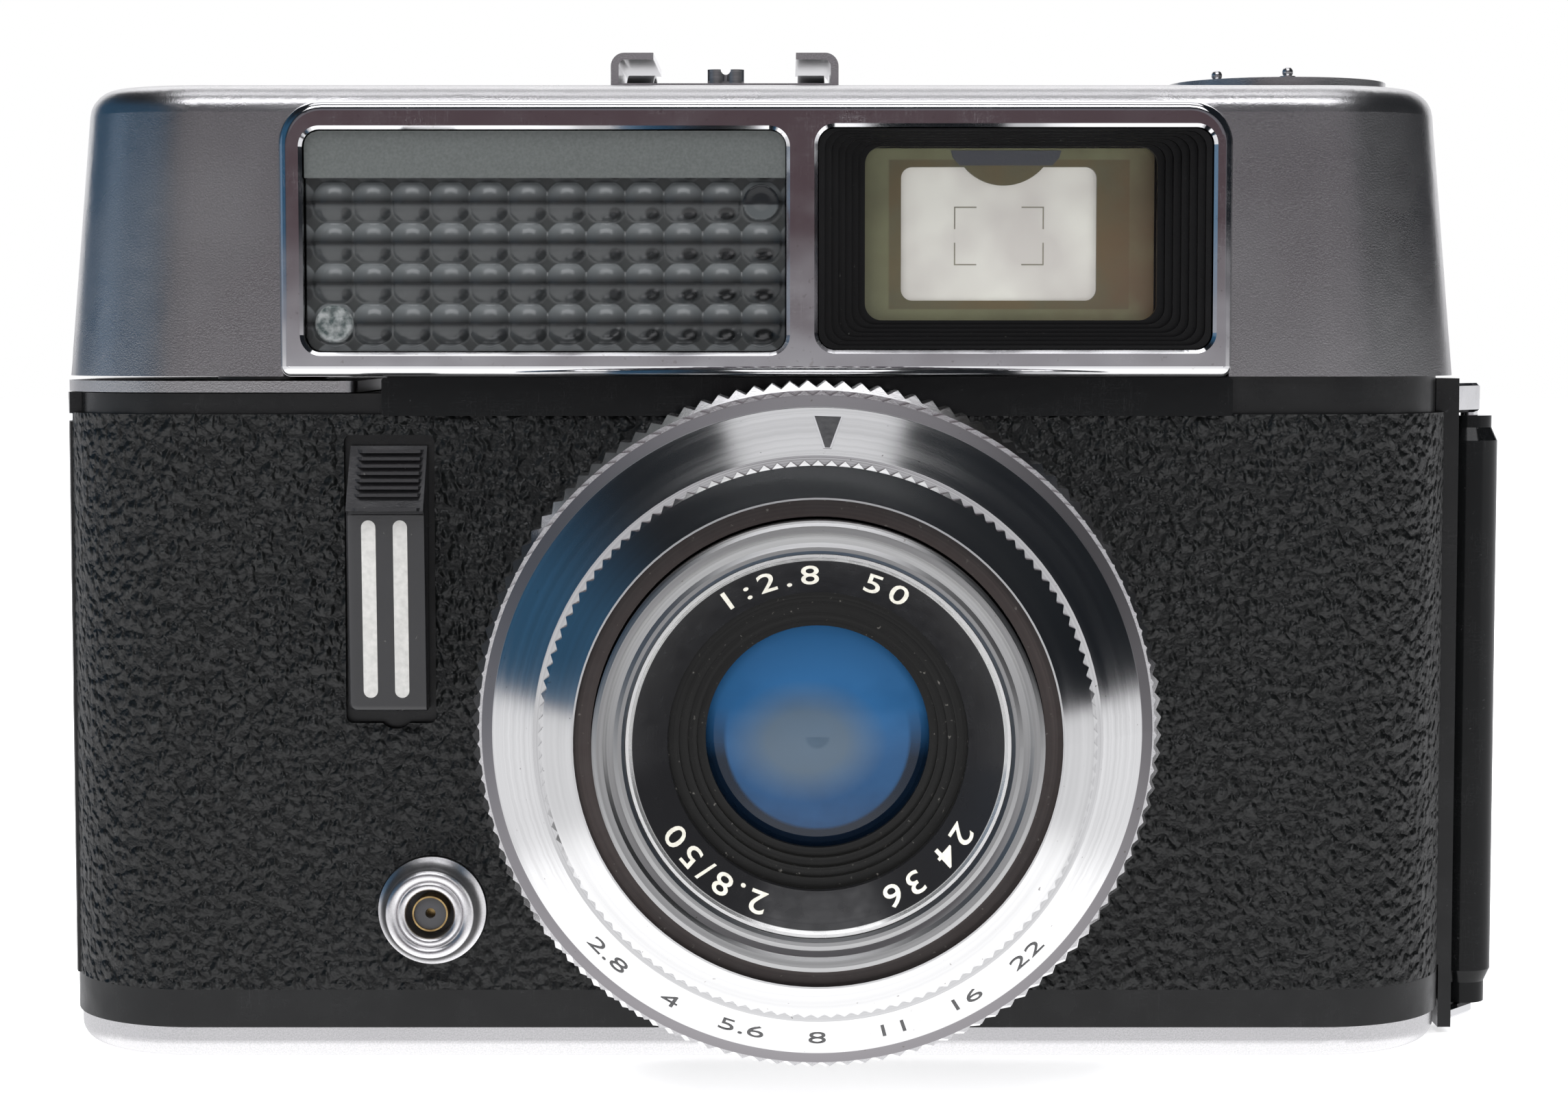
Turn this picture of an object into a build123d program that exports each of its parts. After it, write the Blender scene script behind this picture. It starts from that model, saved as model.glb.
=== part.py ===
from build123d import *
import math
import os

# A 35 mm viewfinder camera with a fixed lens, in millimetres.
# +X is to the right seen from the front, +Y is to the back and +Z is up.  The origin is the mouth
# of the tripod socket, in the plane that the camera stands on.

# Driving dimensions
HALF_WIDTH = 62.3  # over the leather
HALF_DEPTH = 17.0
CORNER_R = 12.5
SKIN = 0.8  # leather thickness
WALL = 1.4  # casting wall
BASE_TOP = 2.84
BASE_INSET = 0.3
BAND_TOP = 6.2
LEATHER_TOP = 57.0
DECK_TOP = 60.3
COVER_TOP = 85.8
COVER_WALL = 0.9
COVER_X = 0.35  # the cover overhangs a little more on the hinge side
COVER_LOW = (62.6, 16.8, 12.4)  # half width, half depth and corner radius at its foot
COVER_HIGH = (60.35, 15.8, 11.4)  # and at its top
DOOR_FRONT = 1.5  # the door starts here, the casting stops just before it
CASTING_BACK = 1.2
GATE_Y = 10.2  # where the film gate plate is seated
LENS_X = 5.08
LENS_Z = 31.65
FRAME_WIDTH = 36.0  # one picture on the film
FRAME_HEIGHT = 24.0
WIND_X, WIND_Y = -44.5, -2.0  # shared axis of lever, take-up spool and frame counter
SPROCKET_X, SPROCKET_Y = -25.5, 4.6
REWIND_X, REWIND_Y = 47.6, 0.0
HINGE_X, HINGE_Y = 66.0, 1.0
SOCKET_X, SOCKET_Z = -28.6, 13.35
SHOE_X = -2.9
METER_X, METER_Y = -20.0, 0.0
RUN = 0.1  # radial clearance of a running fit
LEVER_LOW, LEVER_HIGH = 58.9, 59.9
LEVER_END_X = -35.0
SLOT_FLOOR = 58.8
SLOT_X = -33.0

LENS_AXIS = Axis((LENS_X, 0, LENS_Z), (0, -1, 0))
LENS_SECTION = Plane(origin=(LENS_X, 0, LENS_Z), x_dir=(1, 0, 0), z_dir=(0, 0, 1))
SOCKET_AXIS = Axis((SOCKET_X, 0, SOCKET_Z), (0, -1, 0))
SOCKET_SECTION = Plane(origin=(SOCKET_X, 0, SOCKET_Z), x_dir=(1, 0, 0), z_dir=(0, 0, 1))


def lens_plane(front):
    """Plane across the lens axis, facing forward, at a distance in front of the body centre."""
    return Plane(origin=(LENS_X, -front, LENS_Z), x_dir=(1, 0, 0), z_dir=(0, -1, 0))


def outline(height, inset=0.0):
    """Plan of the camera at a height, drawn inside the leather surface by an inset."""
    with BuildSketch(Plane.XY.offset(height)) as sketch:
        RectangleRounded(2 * (HALF_WIDTH - inset), 2 * (HALF_DEPTH - inset), CORNER_R - inset)
    return sketch.sketch


def cover_plan(height, half_x, half_y, radius):
    """Plan of the top cover at a height."""
    with BuildSketch(Plane.XY.offset(height)) as sketch:
        with Locations((COVER_X, 0)):
            RectangleRounded(2 * half_x, 2 * half_y, radius)
    return sketch.sketch


def window(y, x_span, z_span, radius):
    """Rounded rectangle that faces the front, between two X and two Z values."""
    width = x_span[1] - x_span[0]
    height = z_span[1] - z_span[0]
    place = Plane(origin=(sum(x_span) / 2, y, sum(z_span) / 2), x_dir=(1, 0, 0), z_dir=(0, -1, 0))
    with BuildSketch(place) as sketch:
        RectangleRounded(width, height, radius)
    return sketch.sketch


def block(x_span, y_span, z_span, mode=Mode.ADD):
    """Box between two values on each axis."""
    with Locations((sum(x_span) / 2, sum(y_span) / 2, sum(z_span) / 2)):
        Box(x_span[1] - x_span[0], y_span[1] - y_span[0], z_span[1] - z_span[0], mode=mode)


def post(x, y, radius, z_span, mode=Mode.ADD):
    """Upright cylinder between two heights."""
    with Locations((x, y, sum(z_span) / 2)):
        Cylinder(radius, z_span[1] - z_span[0], mode=mode)


def rod(x, z, radius, y_span, mode=Mode.ADD):
    """Cylinder along Y between two values."""
    with Locations(Location((x, sum(y_span) / 2, z), (90, 0, 0))):
        Cylinder(radius, y_span[1] - y_span[0], mode=mode)


def cross(x_span, y, z, radius, mode=Mode.ADD):
    """Cylinder along X between two values."""
    with Locations(Location((sum(x_span) / 2, y, z), (0, 90, 0))):
        Cylinder(radius, x_span[1] - x_span[0], mode=mode)


def half_section(section, points):
    """Closed half profile, given as (radius, distance in front) pairs."""
    with BuildSketch(section) as sketch:
        with BuildLine():
            Polyline(*[(radius, -front) for radius, front in points], close=True)
        make_face()
    return sketch.sketch


def turned(points, mode=Mode.ADD):
    """Ring or disc turned about the lens axis."""
    revolve(half_section(LENS_SECTION, points), axis=LENS_AXIS, mode=mode)


def toothed(front, tip_r, root_r, count, phase=0.0):
    """Saw-tooth disc outline on the lens axis."""
    step = math.tau / count
    corners = []
    for index in range(count):
        angle = (index + phase) * step
        for radius, turn in ((root_r, angle), (tip_r, angle + step / 2)):
            corners.append((radius * math.cos(turn), radius * math.sin(turn)))
    with BuildSketch(lens_plane(front)) as sketch:
        with BuildLine():
            Polyline(*corners, close=True)
        make_face()
    return sketch.sketch


def depth_of_curve(radius, sag, at):
    """How far a spherical face of a given sag has dropped at a distance from its axis."""
    sphere = (radius**2 + sag**2) / (2 * sag)
    return math.copysign(abs(sphere) - math.sqrt(sphere**2 - at**2), sphere)


def glass(radius, back, front, back_sag, front_sag):
    """Half section of a glass element; a positive sag bulges outwards at its vertex."""
    half = radius / 2
    with BuildSketch(LENS_SECTION) as sketch:
        with BuildLine():
            front_edge = front - front_sag
            back_edge = back + back_sag
            front_mid = front - depth_of_curve(radius, front_sag, half)
            back_mid = back + depth_of_curve(radius, back_sag, half)
            Line((0, -back), (0, -front))
            ThreePointArc((0, -front), (half, -front_mid), (radius, -front_edge))
            Line((radius, -front_edge), (radius, -back_edge))
            ThreePointArc((radius, -back_edge), (half, -back_mid), (0, -back))
        make_face()
    return sketch.sketch


# ---------------------------------------------------------------- body

LIGHT_BOX_X = (-15.5, 25.7)
LIGHT_BOX_Z = (17.0, 46.3)
PARTITION = 1.5
INNER_FRONT = -HALF_DEPTH + SKIN + WALL
SLIDER_POCKET_X = (-36.05, -28.15)
SLIDER_POCKET_Z = (29.9, 55.2)
SLIDER_CENTRE = -32.1
HINGE_LEAF_X = (HALF_WIDTH + 0.1, HALF_WIDTH + 1.3)
HINGE_LEAF_Y = (-6.0, -1.9)
HINGE_LEAF_Z = (0.5, 60.0)
RELEASE_SLOT_Z = (36.4, 45.6)
SPRING_SEAT = 28.0
SPRING_Y = -13.3
HOUSING_HOLE_R = 27.3  # round the shutter housing
SOCKET_FLANGE_R = 4.75
BASE_SCREW_PITCH = (100, 18)
END_X, END_Y = -54.0, -8.8  # the left end is smooth enamel behind this corner
END_PROUD = 0.2  # and stands out this far past the leather
END_GROOVE = (56.2, 56.9)

with BuildPart() as body_casting:
    # smooth left end, then the band round the foot and the main block
    extrude(outline(BAND_TOP, -END_PROUD), amount=SLOT_FLOOR - BAND_TOP)
    block((END_X, 70), (-20, 20), (0, 70), Mode.SUBTRACT)
    block((-70, END_X), (-20, END_Y), (0, 70), Mode.SUBTRACT)
    block((-70, END_X), (-20, 20), END_GROOVE, Mode.SUBTRACT)
    extrude(outline(BASE_TOP), amount=BAND_TOP - BASE_TOP)
    extrude(outline(BAND_TOP, SKIN), amount=DECK_TOP - BAND_TOP)
    # the middle is hollow and open to the back, where the door closes it
    extrude(outline(BAND_TOP, SKIN + WALL), amount=LEATHER_TOP - BAND_TOP, mode=Mode.SUBTRACT)
    block((-70, 70), (CASTING_BACK, 20), (BAND_TOP, LEATHER_TOP), Mode.SUBTRACT)
    # walls that part the film chambers from the picture tunnel
    for wall_x in (LIGHT_BOX_X[0] - PARTITION, LIGHT_BOX_X[1]):
        block((wall_x, wall_x + PARTITION), (INNER_FRONT - 0.1, GATE_Y), (BAND_TOP, LEATHER_TOP))
    block(LIGHT_BOX_X, (INNER_FRONT - 0.1, GATE_Y), LIGHT_BOX_Z)
    tunnel_front = window(INNER_FRONT, (LENS_X - 12.3, LENS_X + 12.3), (LENS_Z - 12.2, LENS_Z + 12.2), 0.5)
    tunnel_back = window(GATE_Y + 0.1, (LENS_X - 18.2, LENS_X + 18.2), (LENS_Z - 12.2, LENS_Z + 12.2), 0.5)
    loft([tunnel_front, tunnel_back], mode=Mode.SUBTRACT)
    rod(LENS_X, LENS_Z, 12.0, (-17.5, INNER_FRONT + 0.1), Mode.SUBTRACT)
    rod(LENS_X, LENS_Z, HOUSING_HOLE_R, (-18, -HALF_DEPTH + SKIN), Mode.SUBTRACT)
    # slot for the release, and the seat of its spring
    slot_x = (SLIDER_CENTRE - 2.4, SLIDER_CENTRE + 2.4)
    block(slot_x, (-17.5, INNER_FRONT + 0.1), RELEASE_SLOT_Z, Mode.SUBTRACT)
    seat_x = (SLIDER_CENTRE - 1.6, SLIDER_CENTRE + 1.6)
    block(seat_x, (INNER_FRONT - 0.1, SPRING_Y + 1.5), (SPRING_SEAT - 1.5, SPRING_SEAT))
    # floor of the slot that the advance lever swings in
    block((-70, SLOT_X), (-20, 20), (SLOT_FLOOR, DECK_TOP + 1), Mode.SUBTRACT)
    post(WIND_X, WIND_Y, 18.7, (SLOT_FLOOR, DECK_TOP + 1), Mode.SUBTRACT)
    # bearings in the two decks
    post(WIND_X, WIND_Y, 3.0 + RUN, (LEATHER_TOP - 1, DECK_TOP), Mode.SUBTRACT)
    post(WIND_X, WIND_Y, 2.0 + RUN, (4.4, BAND_TOP + 1), Mode.SUBTRACT)
    post(SPROCKET_X, SPROCKET_Y, 2.0 + RUN, (LEATHER_TOP - 1, 58.3), Mode.SUBTRACT)
    post(SPROCKET_X, SPROCKET_Y, 2.0 + RUN, (4.4, BAND_TOP + 1), Mode.SUBTRACT)
    post(REWIND_X, REWIND_Y, 3.1, (LEATHER_TOP - 1, DECK_TOP + 1), Mode.SUBTRACT)
    post(0, 0, 6.0, (BASE_TOP - 1, BAND_TOP + 1), Mode.SUBTRACT)
    with Locations((0, 0, BASE_TOP)):
        with GridLocations(*BASE_SCREW_PITCH, 2, 2):
            Cylinder(1.0, 5.0, mode=Mode.SUBTRACT)
    # fixed leaf of the door hinge
    block(HINGE_LEAF_X, HINGE_LEAF_Y, HINGE_LEAF_Z)
    block((HALF_WIDTH - SKIN, HINGE_LEAF_X[0]), HINGE_LEAF_Y, (BAND_TOP + 0.1, HINGE_LEAF_Z[1]))
body_casting.part.label = "body_casting"

with BuildPart() as front_leather:
    extrude(outline(BAND_TOP), amount=LEATHER_TOP - BAND_TOP)
    extrude(outline(BAND_TOP, SKIN), amount=LEATHER_TOP - BAND_TOP, mode=Mode.SUBTRACT)
    block((-70, 70), (CASTING_BACK, 20), (0, 70), Mode.SUBTRACT)
    block((55, 70), (HINGE_LEAF_Y[0] - 0.2, 20), (0, 70), Mode.SUBTRACT)
    block((-70, END_X - 0.1), (END_Y - 0.1, 20), (0, 70), Mode.SUBTRACT)
    rod(LENS_X, LENS_Z, HOUSING_HOLE_R, (-18, -15), Mode.SUBTRACT)
    rod(SOCKET_X, SOCKET_Z, SOCKET_FLANGE_R + 0.1, (-18, -15), Mode.SUBTRACT)
    extrude(window(-15, SLIDER_POCKET_X, SLIDER_POCKET_Z, 0.6), amount=4, mode=Mode.SUBTRACT)
    rod(SLIDER_CENTRE + 0.4, SLIDER_POCKET_Z[0] + 1.1, 1.6, (-18, -15), Mode.SUBTRACT)
front_leather.part.label = "front_leather"

with BuildPart() as waist_panel:
    extrude(window(-HALF_DEPTH + SKIN, (-32.7, 41.5), (56.87, 60.2), 0.3), amount=1.1)
    # the lower edge laps over the leather
    block((-40, 50), (-HALF_DEPTH - 0.05, -16.0), (56, LEATHER_TOP), Mode.SUBTRACT)
    rod(LENS_X, LENS_Z, HOUSING_HOLE_R, (-18, -15), Mode.SUBTRACT)
waist_panel.part.label = "waist_panel"

with BuildPart() as base_plate:
    extrude(outline(0, BASE_INSET), amount=BASE_TOP)
    fillet(faces().sort_by(Axis.Z)[0].edges(), 1.6)
    extrude(outline(1.2, BASE_INSET + 1.6), amount=BASE_TOP, mode=Mode.SUBTRACT)
    post(0, 0, 9.0, (1.0, BASE_TOP))
    post(0, 0, 6.0, (-1, 4), Mode.SUBTRACT)
    with GridLocations(*BASE_SCREW_PITCH, 2, 2):
        Cylinder(1.9, 4.0, mode=Mode.SUBTRACT)
base_plate.part.label = "base_plate"

with BuildPart() as tripod_bush:
    post(0, 0, 6.0, (0, 8.0))
    post(0, 0, 7.5, (BAND_TOP, 8.0))
    post(0, 0, 3.175, (-1, 6.5), Mode.SUBTRACT)
tripod_bush.part.label = "tripod_bush"

with BuildPart() as base_screws:
    with Locations((0, 0, 0.2)):
        with GridLocations(*BASE_SCREW_PITCH, 2, 2):
            Cylinder(1.8, 1.0, align=(Align.CENTER, Align.CENTER, Align.MIN))
            Cylinder(1.0, 4.6, align=(Align.CENTER, Align.CENTER, Align.MIN))
            Box(3.0, 0.5, 0.8, mode=Mode.SUBTRACT)
base_screws.part.label = "base_screws"

with BuildPart() as film_gate:
    gate_z = (12.5, 50.8)
    extrude(window(GATE_Y + 0.8, (-18.5, 28.7), gate_z, 1.0), amount=0.8)
    for rail_z in (LENS_Z - 14.2, LENS_Z + 14.2):
        block((-18.5, 28.7), (GATE_Y + 0.8, GATE_Y + 1.05), (rail_z - 1.0, rail_z + 1.0))
    picture_x = (LENS_X - FRAME_WIDTH / 2, LENS_X + FRAME_WIDTH / 2)
    picture_z = (LENS_Z - FRAME_HEIGHT / 2, LENS_Z + FRAME_HEIGHT / 2)
    extrude(window(GATE_Y + 1, picture_x, picture_z, 0.5), amount=2, mode=Mode.SUBTRACT)
film_gate.part.label = "film_gate"

# ---------------------------------------------------------------- top cover

WELL_FLOOR = 79.0
WELL_RIM = 86.8
FRAME_X = (-41.3, 41.2)
FRAME_Z = (DECK_TOP, 84.1)
EYEPIECE_X = (13.3, 31.2)
EYEPIECE_Z = (66.5, 80.0)
SHOE_SCREWS = [(SHOE_X + dx, dy) for dx in (-4.5, 4.5) for dy in (-5, 5)]
SIDE_SCREWS = [(-1, 65.0), (1, 63.7)]  # side of the camera and height
SIDE_SCREW_Y = -3.0
SIDE_SCREW_SEAT = 61.35  # from the middle of the cover


def sideways(side, near, far):
    """X span on one side of the cover, from two distances off its middle."""
    return tuple(sorted((COVER_X + side * near, COVER_X + side * far)))


def frame_outline(y):
    """Outline of the window frame, with large upper and small lower corners."""
    with BuildSketch(Plane(origin=(0, y, 0), x_dir=(1, 0, 0), z_dir=(0, -1, 0))) as sketch:
        with Locations((FRAME_X[0], FRAME_Z[0])):
            Rectangle(FRAME_X[1] - FRAME_X[0], FRAME_Z[1] - FRAME_Z[0], align=(Align.MIN, Align.MIN))
        fillet(vertices().group_by(Axis.Y)[-1], 3.8)
        fillet(vertices().group_by(Axis.Y)[0], 0.9)
    return sketch.sketch


with BuildPart() as top_cover:
    loft([cover_plan(DECK_TOP, *COVER_LOW), cover_plan(COVER_TOP, *COVER_HIGH)])
    fillet(faces().sort_by(Axis.Z)[-1].edges(), 2.6)
    inner_low = cover_plan(DECK_TOP - 0.1, *[size - COVER_WALL for size in COVER_LOW])
    inner_high = cover_plan(COVER_TOP - COVER_WALL, *[size - COVER_WALL - 0.1 for size in COVER_HIGH])
    loft([inner_low, inner_high], mode=Mode.SUBTRACT)
    # cup that the rewind knob sinks into
    post(REWIND_X, REWIND_Y, 9.3, (WELL_FLOOR, COVER_TOP - 0.3))
    post(REWIND_X, REWIND_Y, 9.9, (COVER_TOP - 0.3, WELL_RIM))
    post(REWIND_X, REWIND_Y, 8.8, (WELL_FLOOR + COVER_WALL, WELL_RIM + 1), Mode.SUBTRACT)
    post(REWIND_X, REWIND_Y, 2.4, (WELL_FLOOR - 1, COVER_TOP), Mode.SUBTRACT)
    # openings for the window frame, the eyepiece and the frame counter
    extrude(frame_outline(-13), amount=6, mode=Mode.SUBTRACT)
    block(FRAME_X, (-19, -13), (DECK_TOP - 1, DECK_TOP + 2), Mode.SUBTRACT)
    extrude(window(18, EYEPIECE_X, EYEPIECE_Z, 1.5), amount=4, mode=Mode.SUBTRACT)
    with BuildSketch(Plane.XY.offset(COVER_TOP - 2)):
        with Locations((WIND_X, WIND_Y + 5.5)):
            RectangleRounded(6, 4, 0.8)
    extrude(amount=3, mode=Mode.SUBTRACT)
    for screw_x, screw_y in SHOE_SCREWS:
        post(screw_x, screw_y, 1.2, (COVER_TOP - 2, COVER_TOP + 1), Mode.SUBTRACT)
    for side, screw_z in SIDE_SCREWS:
        shank = sideways(side, SIDE_SCREW_SEAT - 4, SIDE_SCREW_SEAT + 1)
        cross(shank, SIDE_SCREW_Y, screw_z, 1.0, Mode.SUBTRACT)
        seat = sideways(side, SIDE_SCREW_SEAT, SIDE_SCREW_SEAT + 2)
        cross(seat, SIDE_SCREW_Y, screw_z, 1.6, Mode.SUBTRACT)
top_cover.part.label = "top_cover"

with BuildPart() as cover_screws:
    for screw_x, screw_y in SHOE_SCREWS:
        post(screw_x, screw_y, 1.2, (83.8, COVER_TOP + 0.5))
    for side, screw_z in SIDE_SCREWS:
        cross(sideways(side, SIDE_SCREW_SEAT - 4, SIDE_SCREW_SEAT), SIDE_SCREW_Y, screw_z, 1.0)
        cross(sideways(side, SIDE_SCREW_SEAT, SIDE_SCREW_SEAT + 0.5), SIDE_SCREW_Y, screw_z, 1.5)
        notch_x = sideways(side, SIDE_SCREW_SEAT + 0.2, SIDE_SCREW_SEAT + 0.6)
        notch_y = (SIDE_SCREW_Y - 1.6, SIDE_SCREW_Y + 1.6)
        block(notch_x, notch_y, (screw_z - 0.25, screw_z + 0.25), Mode.SUBTRACT)
cover_screws.part.label = "cover_screws"

METER_OPENING_X = (-39.2, 2.6)
METER_OPENING_Z = (62.4, 81.6)
FINDER_OPENING_X = (5.3, 39.5)
FINDER_OPENING_Z = (62.6, 81.8)
OPENING_R = 1.5
FRAME_BACK = -15.0
FRAME_FRONT = -19.1
FRAME_EDGE_R = 0.9
FRAME_LIP = 0.3


def widened(span, amount):
    """Span with both ends moved outwards."""
    return (span[0] - amount, span[1] + amount)


with BuildPart() as window_frame:
    extrude(frame_outline(FRAME_BACK), amount=FRAME_BACK - FRAME_FRONT)
    fillet(faces().sort_by(Axis.Y)[0].edges(), FRAME_EDGE_R)
    for span_x, span_z in ((METER_OPENING_X, METER_OPENING_Z), (FINDER_OPENING_X, FINDER_OPENING_Z)):
        extrude(window(FRAME_BACK + 1, span_x, span_z, OPENING_R), amount=6, mode=Mode.SUBTRACT)
    chamfer([wire.edges() for wire in faces().sort_by(Axis.Y)[0].inner_wires()], FRAME_LIP)
window_frame.part.label = "window_frame"

with BuildPart() as meter_window:
    extrude(window(-16.7, widened(METER_OPENING_X, -0.1), widened(METER_OPENING_Z, -0.1), 1.4), amount=1.6)
meter_window.part.label = "meter_window"

with BuildPart() as selenium_cell:
    extrude(window(-15.2, (-38.4, 1.8), (63.2, 80.8), 0.5), amount=0.9)
selenium_cell.part.label = "selenium_cell"

with BuildPart() as meter_movement:
    post(METER_X, METER_Y, 6.0, (DECK_TOP, 68.5))
    post(METER_X, METER_Y, 0.5, (68.5, 71.6))
meter_movement.part.label = "meter_movement"

with BuildPart() as meter_needle:
    post(METER_X, METER_Y, 1.4, (70.2, 70.9))
    post(METER_X, METER_Y, 0.5 + RUN, (70, 71), Mode.SUBTRACT)
    with BuildSketch(Plane.XY.offset(70.4)):
        with BuildLine():
            needle_root = METER_X + 1.2
            Polyline((needle_root, -0.5), (METER_X + 18, -6.3), (METER_X + 18, -6.0), (needle_root, 0.5),
                     close=True)
        make_face()
    extrude(amount=0.3)
meter_needle.part.label = "meter_needle"

# ---------------------------------------------------------------- finder

FUNNEL_STEPS = 7
FUNNEL_FRONT = -18.4
FUNNEL_BACK = -13.0
FUNNEL_MOUTH_X, FUNNEL_MOUTH_Z = (5.9, 38.9), (63.0, 81.5)
LENS_VIEW_X, LENS_VIEW_Z = (9.5, 35.2), (65.2, 80.4)
BRIGHT_X, BRIGHT_Z = (12.76, 30.13), (66.96, 78.77)


def between(first, last, share):
    """Span part of the way from one span to another."""
    return tuple(a + (b - a) * share for a, b in zip(first, last))


with BuildPart() as finder_funnel:
    step_depth = (FUNNEL_BACK - FUNNEL_FRONT) / FUNNEL_STEPS
    outer_x, outer_z = widened(FINDER_OPENING_X, -0.1), widened(FINDER_OPENING_Z, -0.1)
    extrude(window(FUNNEL_BACK, outer_x, outer_z, 1.4), amount=FUNNEL_BACK - FUNNEL_FRONT)
    for index in range(FUNNEL_STEPS):
        share = index / (FUNNEL_STEPS - 1)
        hole_x = between(FUNNEL_MOUTH_X, LENS_VIEW_X, share)
        hole_z = between(FUNNEL_MOUTH_Z, LENS_VIEW_Z, share)
        step_back = FUNNEL_FRONT + (index + 1) * step_depth
        extrude(window(step_back, hole_x, hole_z, 1.5), amount=step_depth, mode=Mode.SUBTRACT)
finder_funnel.part.label = "finder_funnel"

with BuildPart() as finder_front_lens:
    extrude(window(-11.4, widened(LENS_VIEW_X, 0.8), widened(LENS_VIEW_Z, 0.8), 0.8), amount=1.6)
finder_front_lens.part.label = "finder_front_lens"

MASK_Y = -10.6
TUNNEL_STEP_Y = 1.5

with BuildPart() as finder_tunnel:
    extrude(window(14.8, widened(LENS_VIEW_X, 1.8), widened(LENS_VIEW_Z, 1.8), 1.5), amount=27.8)
    extrude(window(-11.4, widened(LENS_VIEW_X, 0.8), widened(LENS_VIEW_Z, 0.8), 0.8), amount=3,
            mode=Mode.SUBTRACT)
    extrude(window(TUNNEL_STEP_Y, LENS_VIEW_X, LENS_VIEW_Z, 0.8), amount=15, mode=Mode.SUBTRACT)
    extrude(window(16, (14.5, 30.0), (67.8, 78.7), 1.0), amount=16, mode=Mode.SUBTRACT)
    # the rear half is no wider than it has to be
    for side_x in ((0, 12.9), (31.6, 45)):
        block(side_x, (TUNNEL_STEP_Y + 1.2, 20), (60, 90), Mode.SUBTRACT)
finder_tunnel.part.label = "finder_tunnel"

NOTCH_R = 4.6
NOTCH_X = 21.88
NOTCH_DEPTH = 1.63

with BuildPart() as finder_mask:
    extrude(window(MASK_Y, LENS_VIEW_X, LENS_VIEW_Z, 0.8), amount=0.6)
    # bright window with a round bite in its upper edge
    with BuildSketch(Plane(origin=(0, MASK_Y + 1, 0), x_dir=(1, 0, 0), z_dir=(0, -1, 0))):
        with Locations((sum(BRIGHT_X) / 2, sum(BRIGHT_Z) / 2)):
            RectangleRounded(BRIGHT_X[1] - BRIGHT_X[0], BRIGHT_Z[1] - BRIGHT_Z[0], 1.0)
        with Locations((NOTCH_X, BRIGHT_Z[1] - NOTCH_DEPTH + NOTCH_R)):
            Circle(NOTCH_R, mode=Mode.SUBTRACT)
    extrude(amount=3, mode=Mode.SUBTRACT)
finder_mask.part.label = "finder_mask"

with BuildPart() as eyepiece_bezel:
    extrude(window(17.6, EYEPIECE_X, EYEPIECE_Z, 1.5), amount=2.8)
    fillet(faces().sort_by(Axis.Y)[-1].edges(), 0.6)
    extrude(window(16.4, (14.5, 30.0), (67.8, 78.7), 1.0), amount=3, mode=Mode.SUBTRACT)
    extrude(window(19, (15.5, 29.0), (68.8, 77.7), 1.0), amount=4, mode=Mode.SUBTRACT)
eyepiece_bezel.part.label = "eyepiece_bezel"

with BuildPart() as finder_rear_lens:
    extrude(window(16.4, (14.5, 30.0), (67.8, 78.7), 1.0), amount=1.2)
finder_rear_lens.part.label = "finder_rear_lens"

# ---------------------------------------------------------------- accessory shoe

SHOE_HALF = 10.15  # over the side walls
SHOE_WALL = 0.7
SHOE_FLOOR = COVER_TOP + 0.5
LIP_LOW, LIP_HIGH = 88.4, 89.0
LIP_INNER = 6.35  # half of the gap between the lips
SHOE_Y = (-9.0, 10.0)
STOP_TOP = 87.6

with BuildPart() as accessory_shoe:
    block((SHOE_X - SHOE_HALF, SHOE_X + SHOE_HALF), SHOE_Y, (COVER_TOP, LIP_HIGH))
    fillet(edges().filter_by(Axis.Y).sort_by(Axis.Z)[-2:], 1.2)
    inner_x = (SHOE_X - SHOE_HALF + SHOE_WALL, SHOE_X + SHOE_HALF - SHOE_WALL)
    with BuildSketch(Plane(origin=(SHOE_X, 20, 0), x_dir=(1, 0, 0), z_dir=(0, -1, 0))):
        with Locations((0, LIP_LOW)):
            Rectangle(inner_x[1] - inner_x[0], LIP_LOW - SHOE_FLOOR, align=(Align.CENTER, Align.MAX))
        fillet(vertices().group_by(Axis.Y)[-1], 0.6)
    extrude(amount=40, mode=Mode.SUBTRACT)
    block((SHOE_X - LIP_INNER, SHOE_X + LIP_INNER), (-20, 20), (SHOE_FLOOR, 95), Mode.SUBTRACT)
    for screw_x, screw_y in SHOE_SCREWS:
        post(screw_x, screw_y, 1.2, (COVER_TOP - 1, COVER_TOP + 1), Mode.SUBTRACT)
accessory_shoe.part.label = "accessory_shoe"

SPRING_LEAF = 0.25
STOP_X = (-4.45, -1.2)
STOP_MIDDLE = sum(STOP_X) / 2
STOP_Y = (-7.7, -7.3)
TONGUE_Y = (-5.2, 9.2)
TONGUE_BOW = 1.5
TONGUE_WIDTH = 2.4

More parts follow.
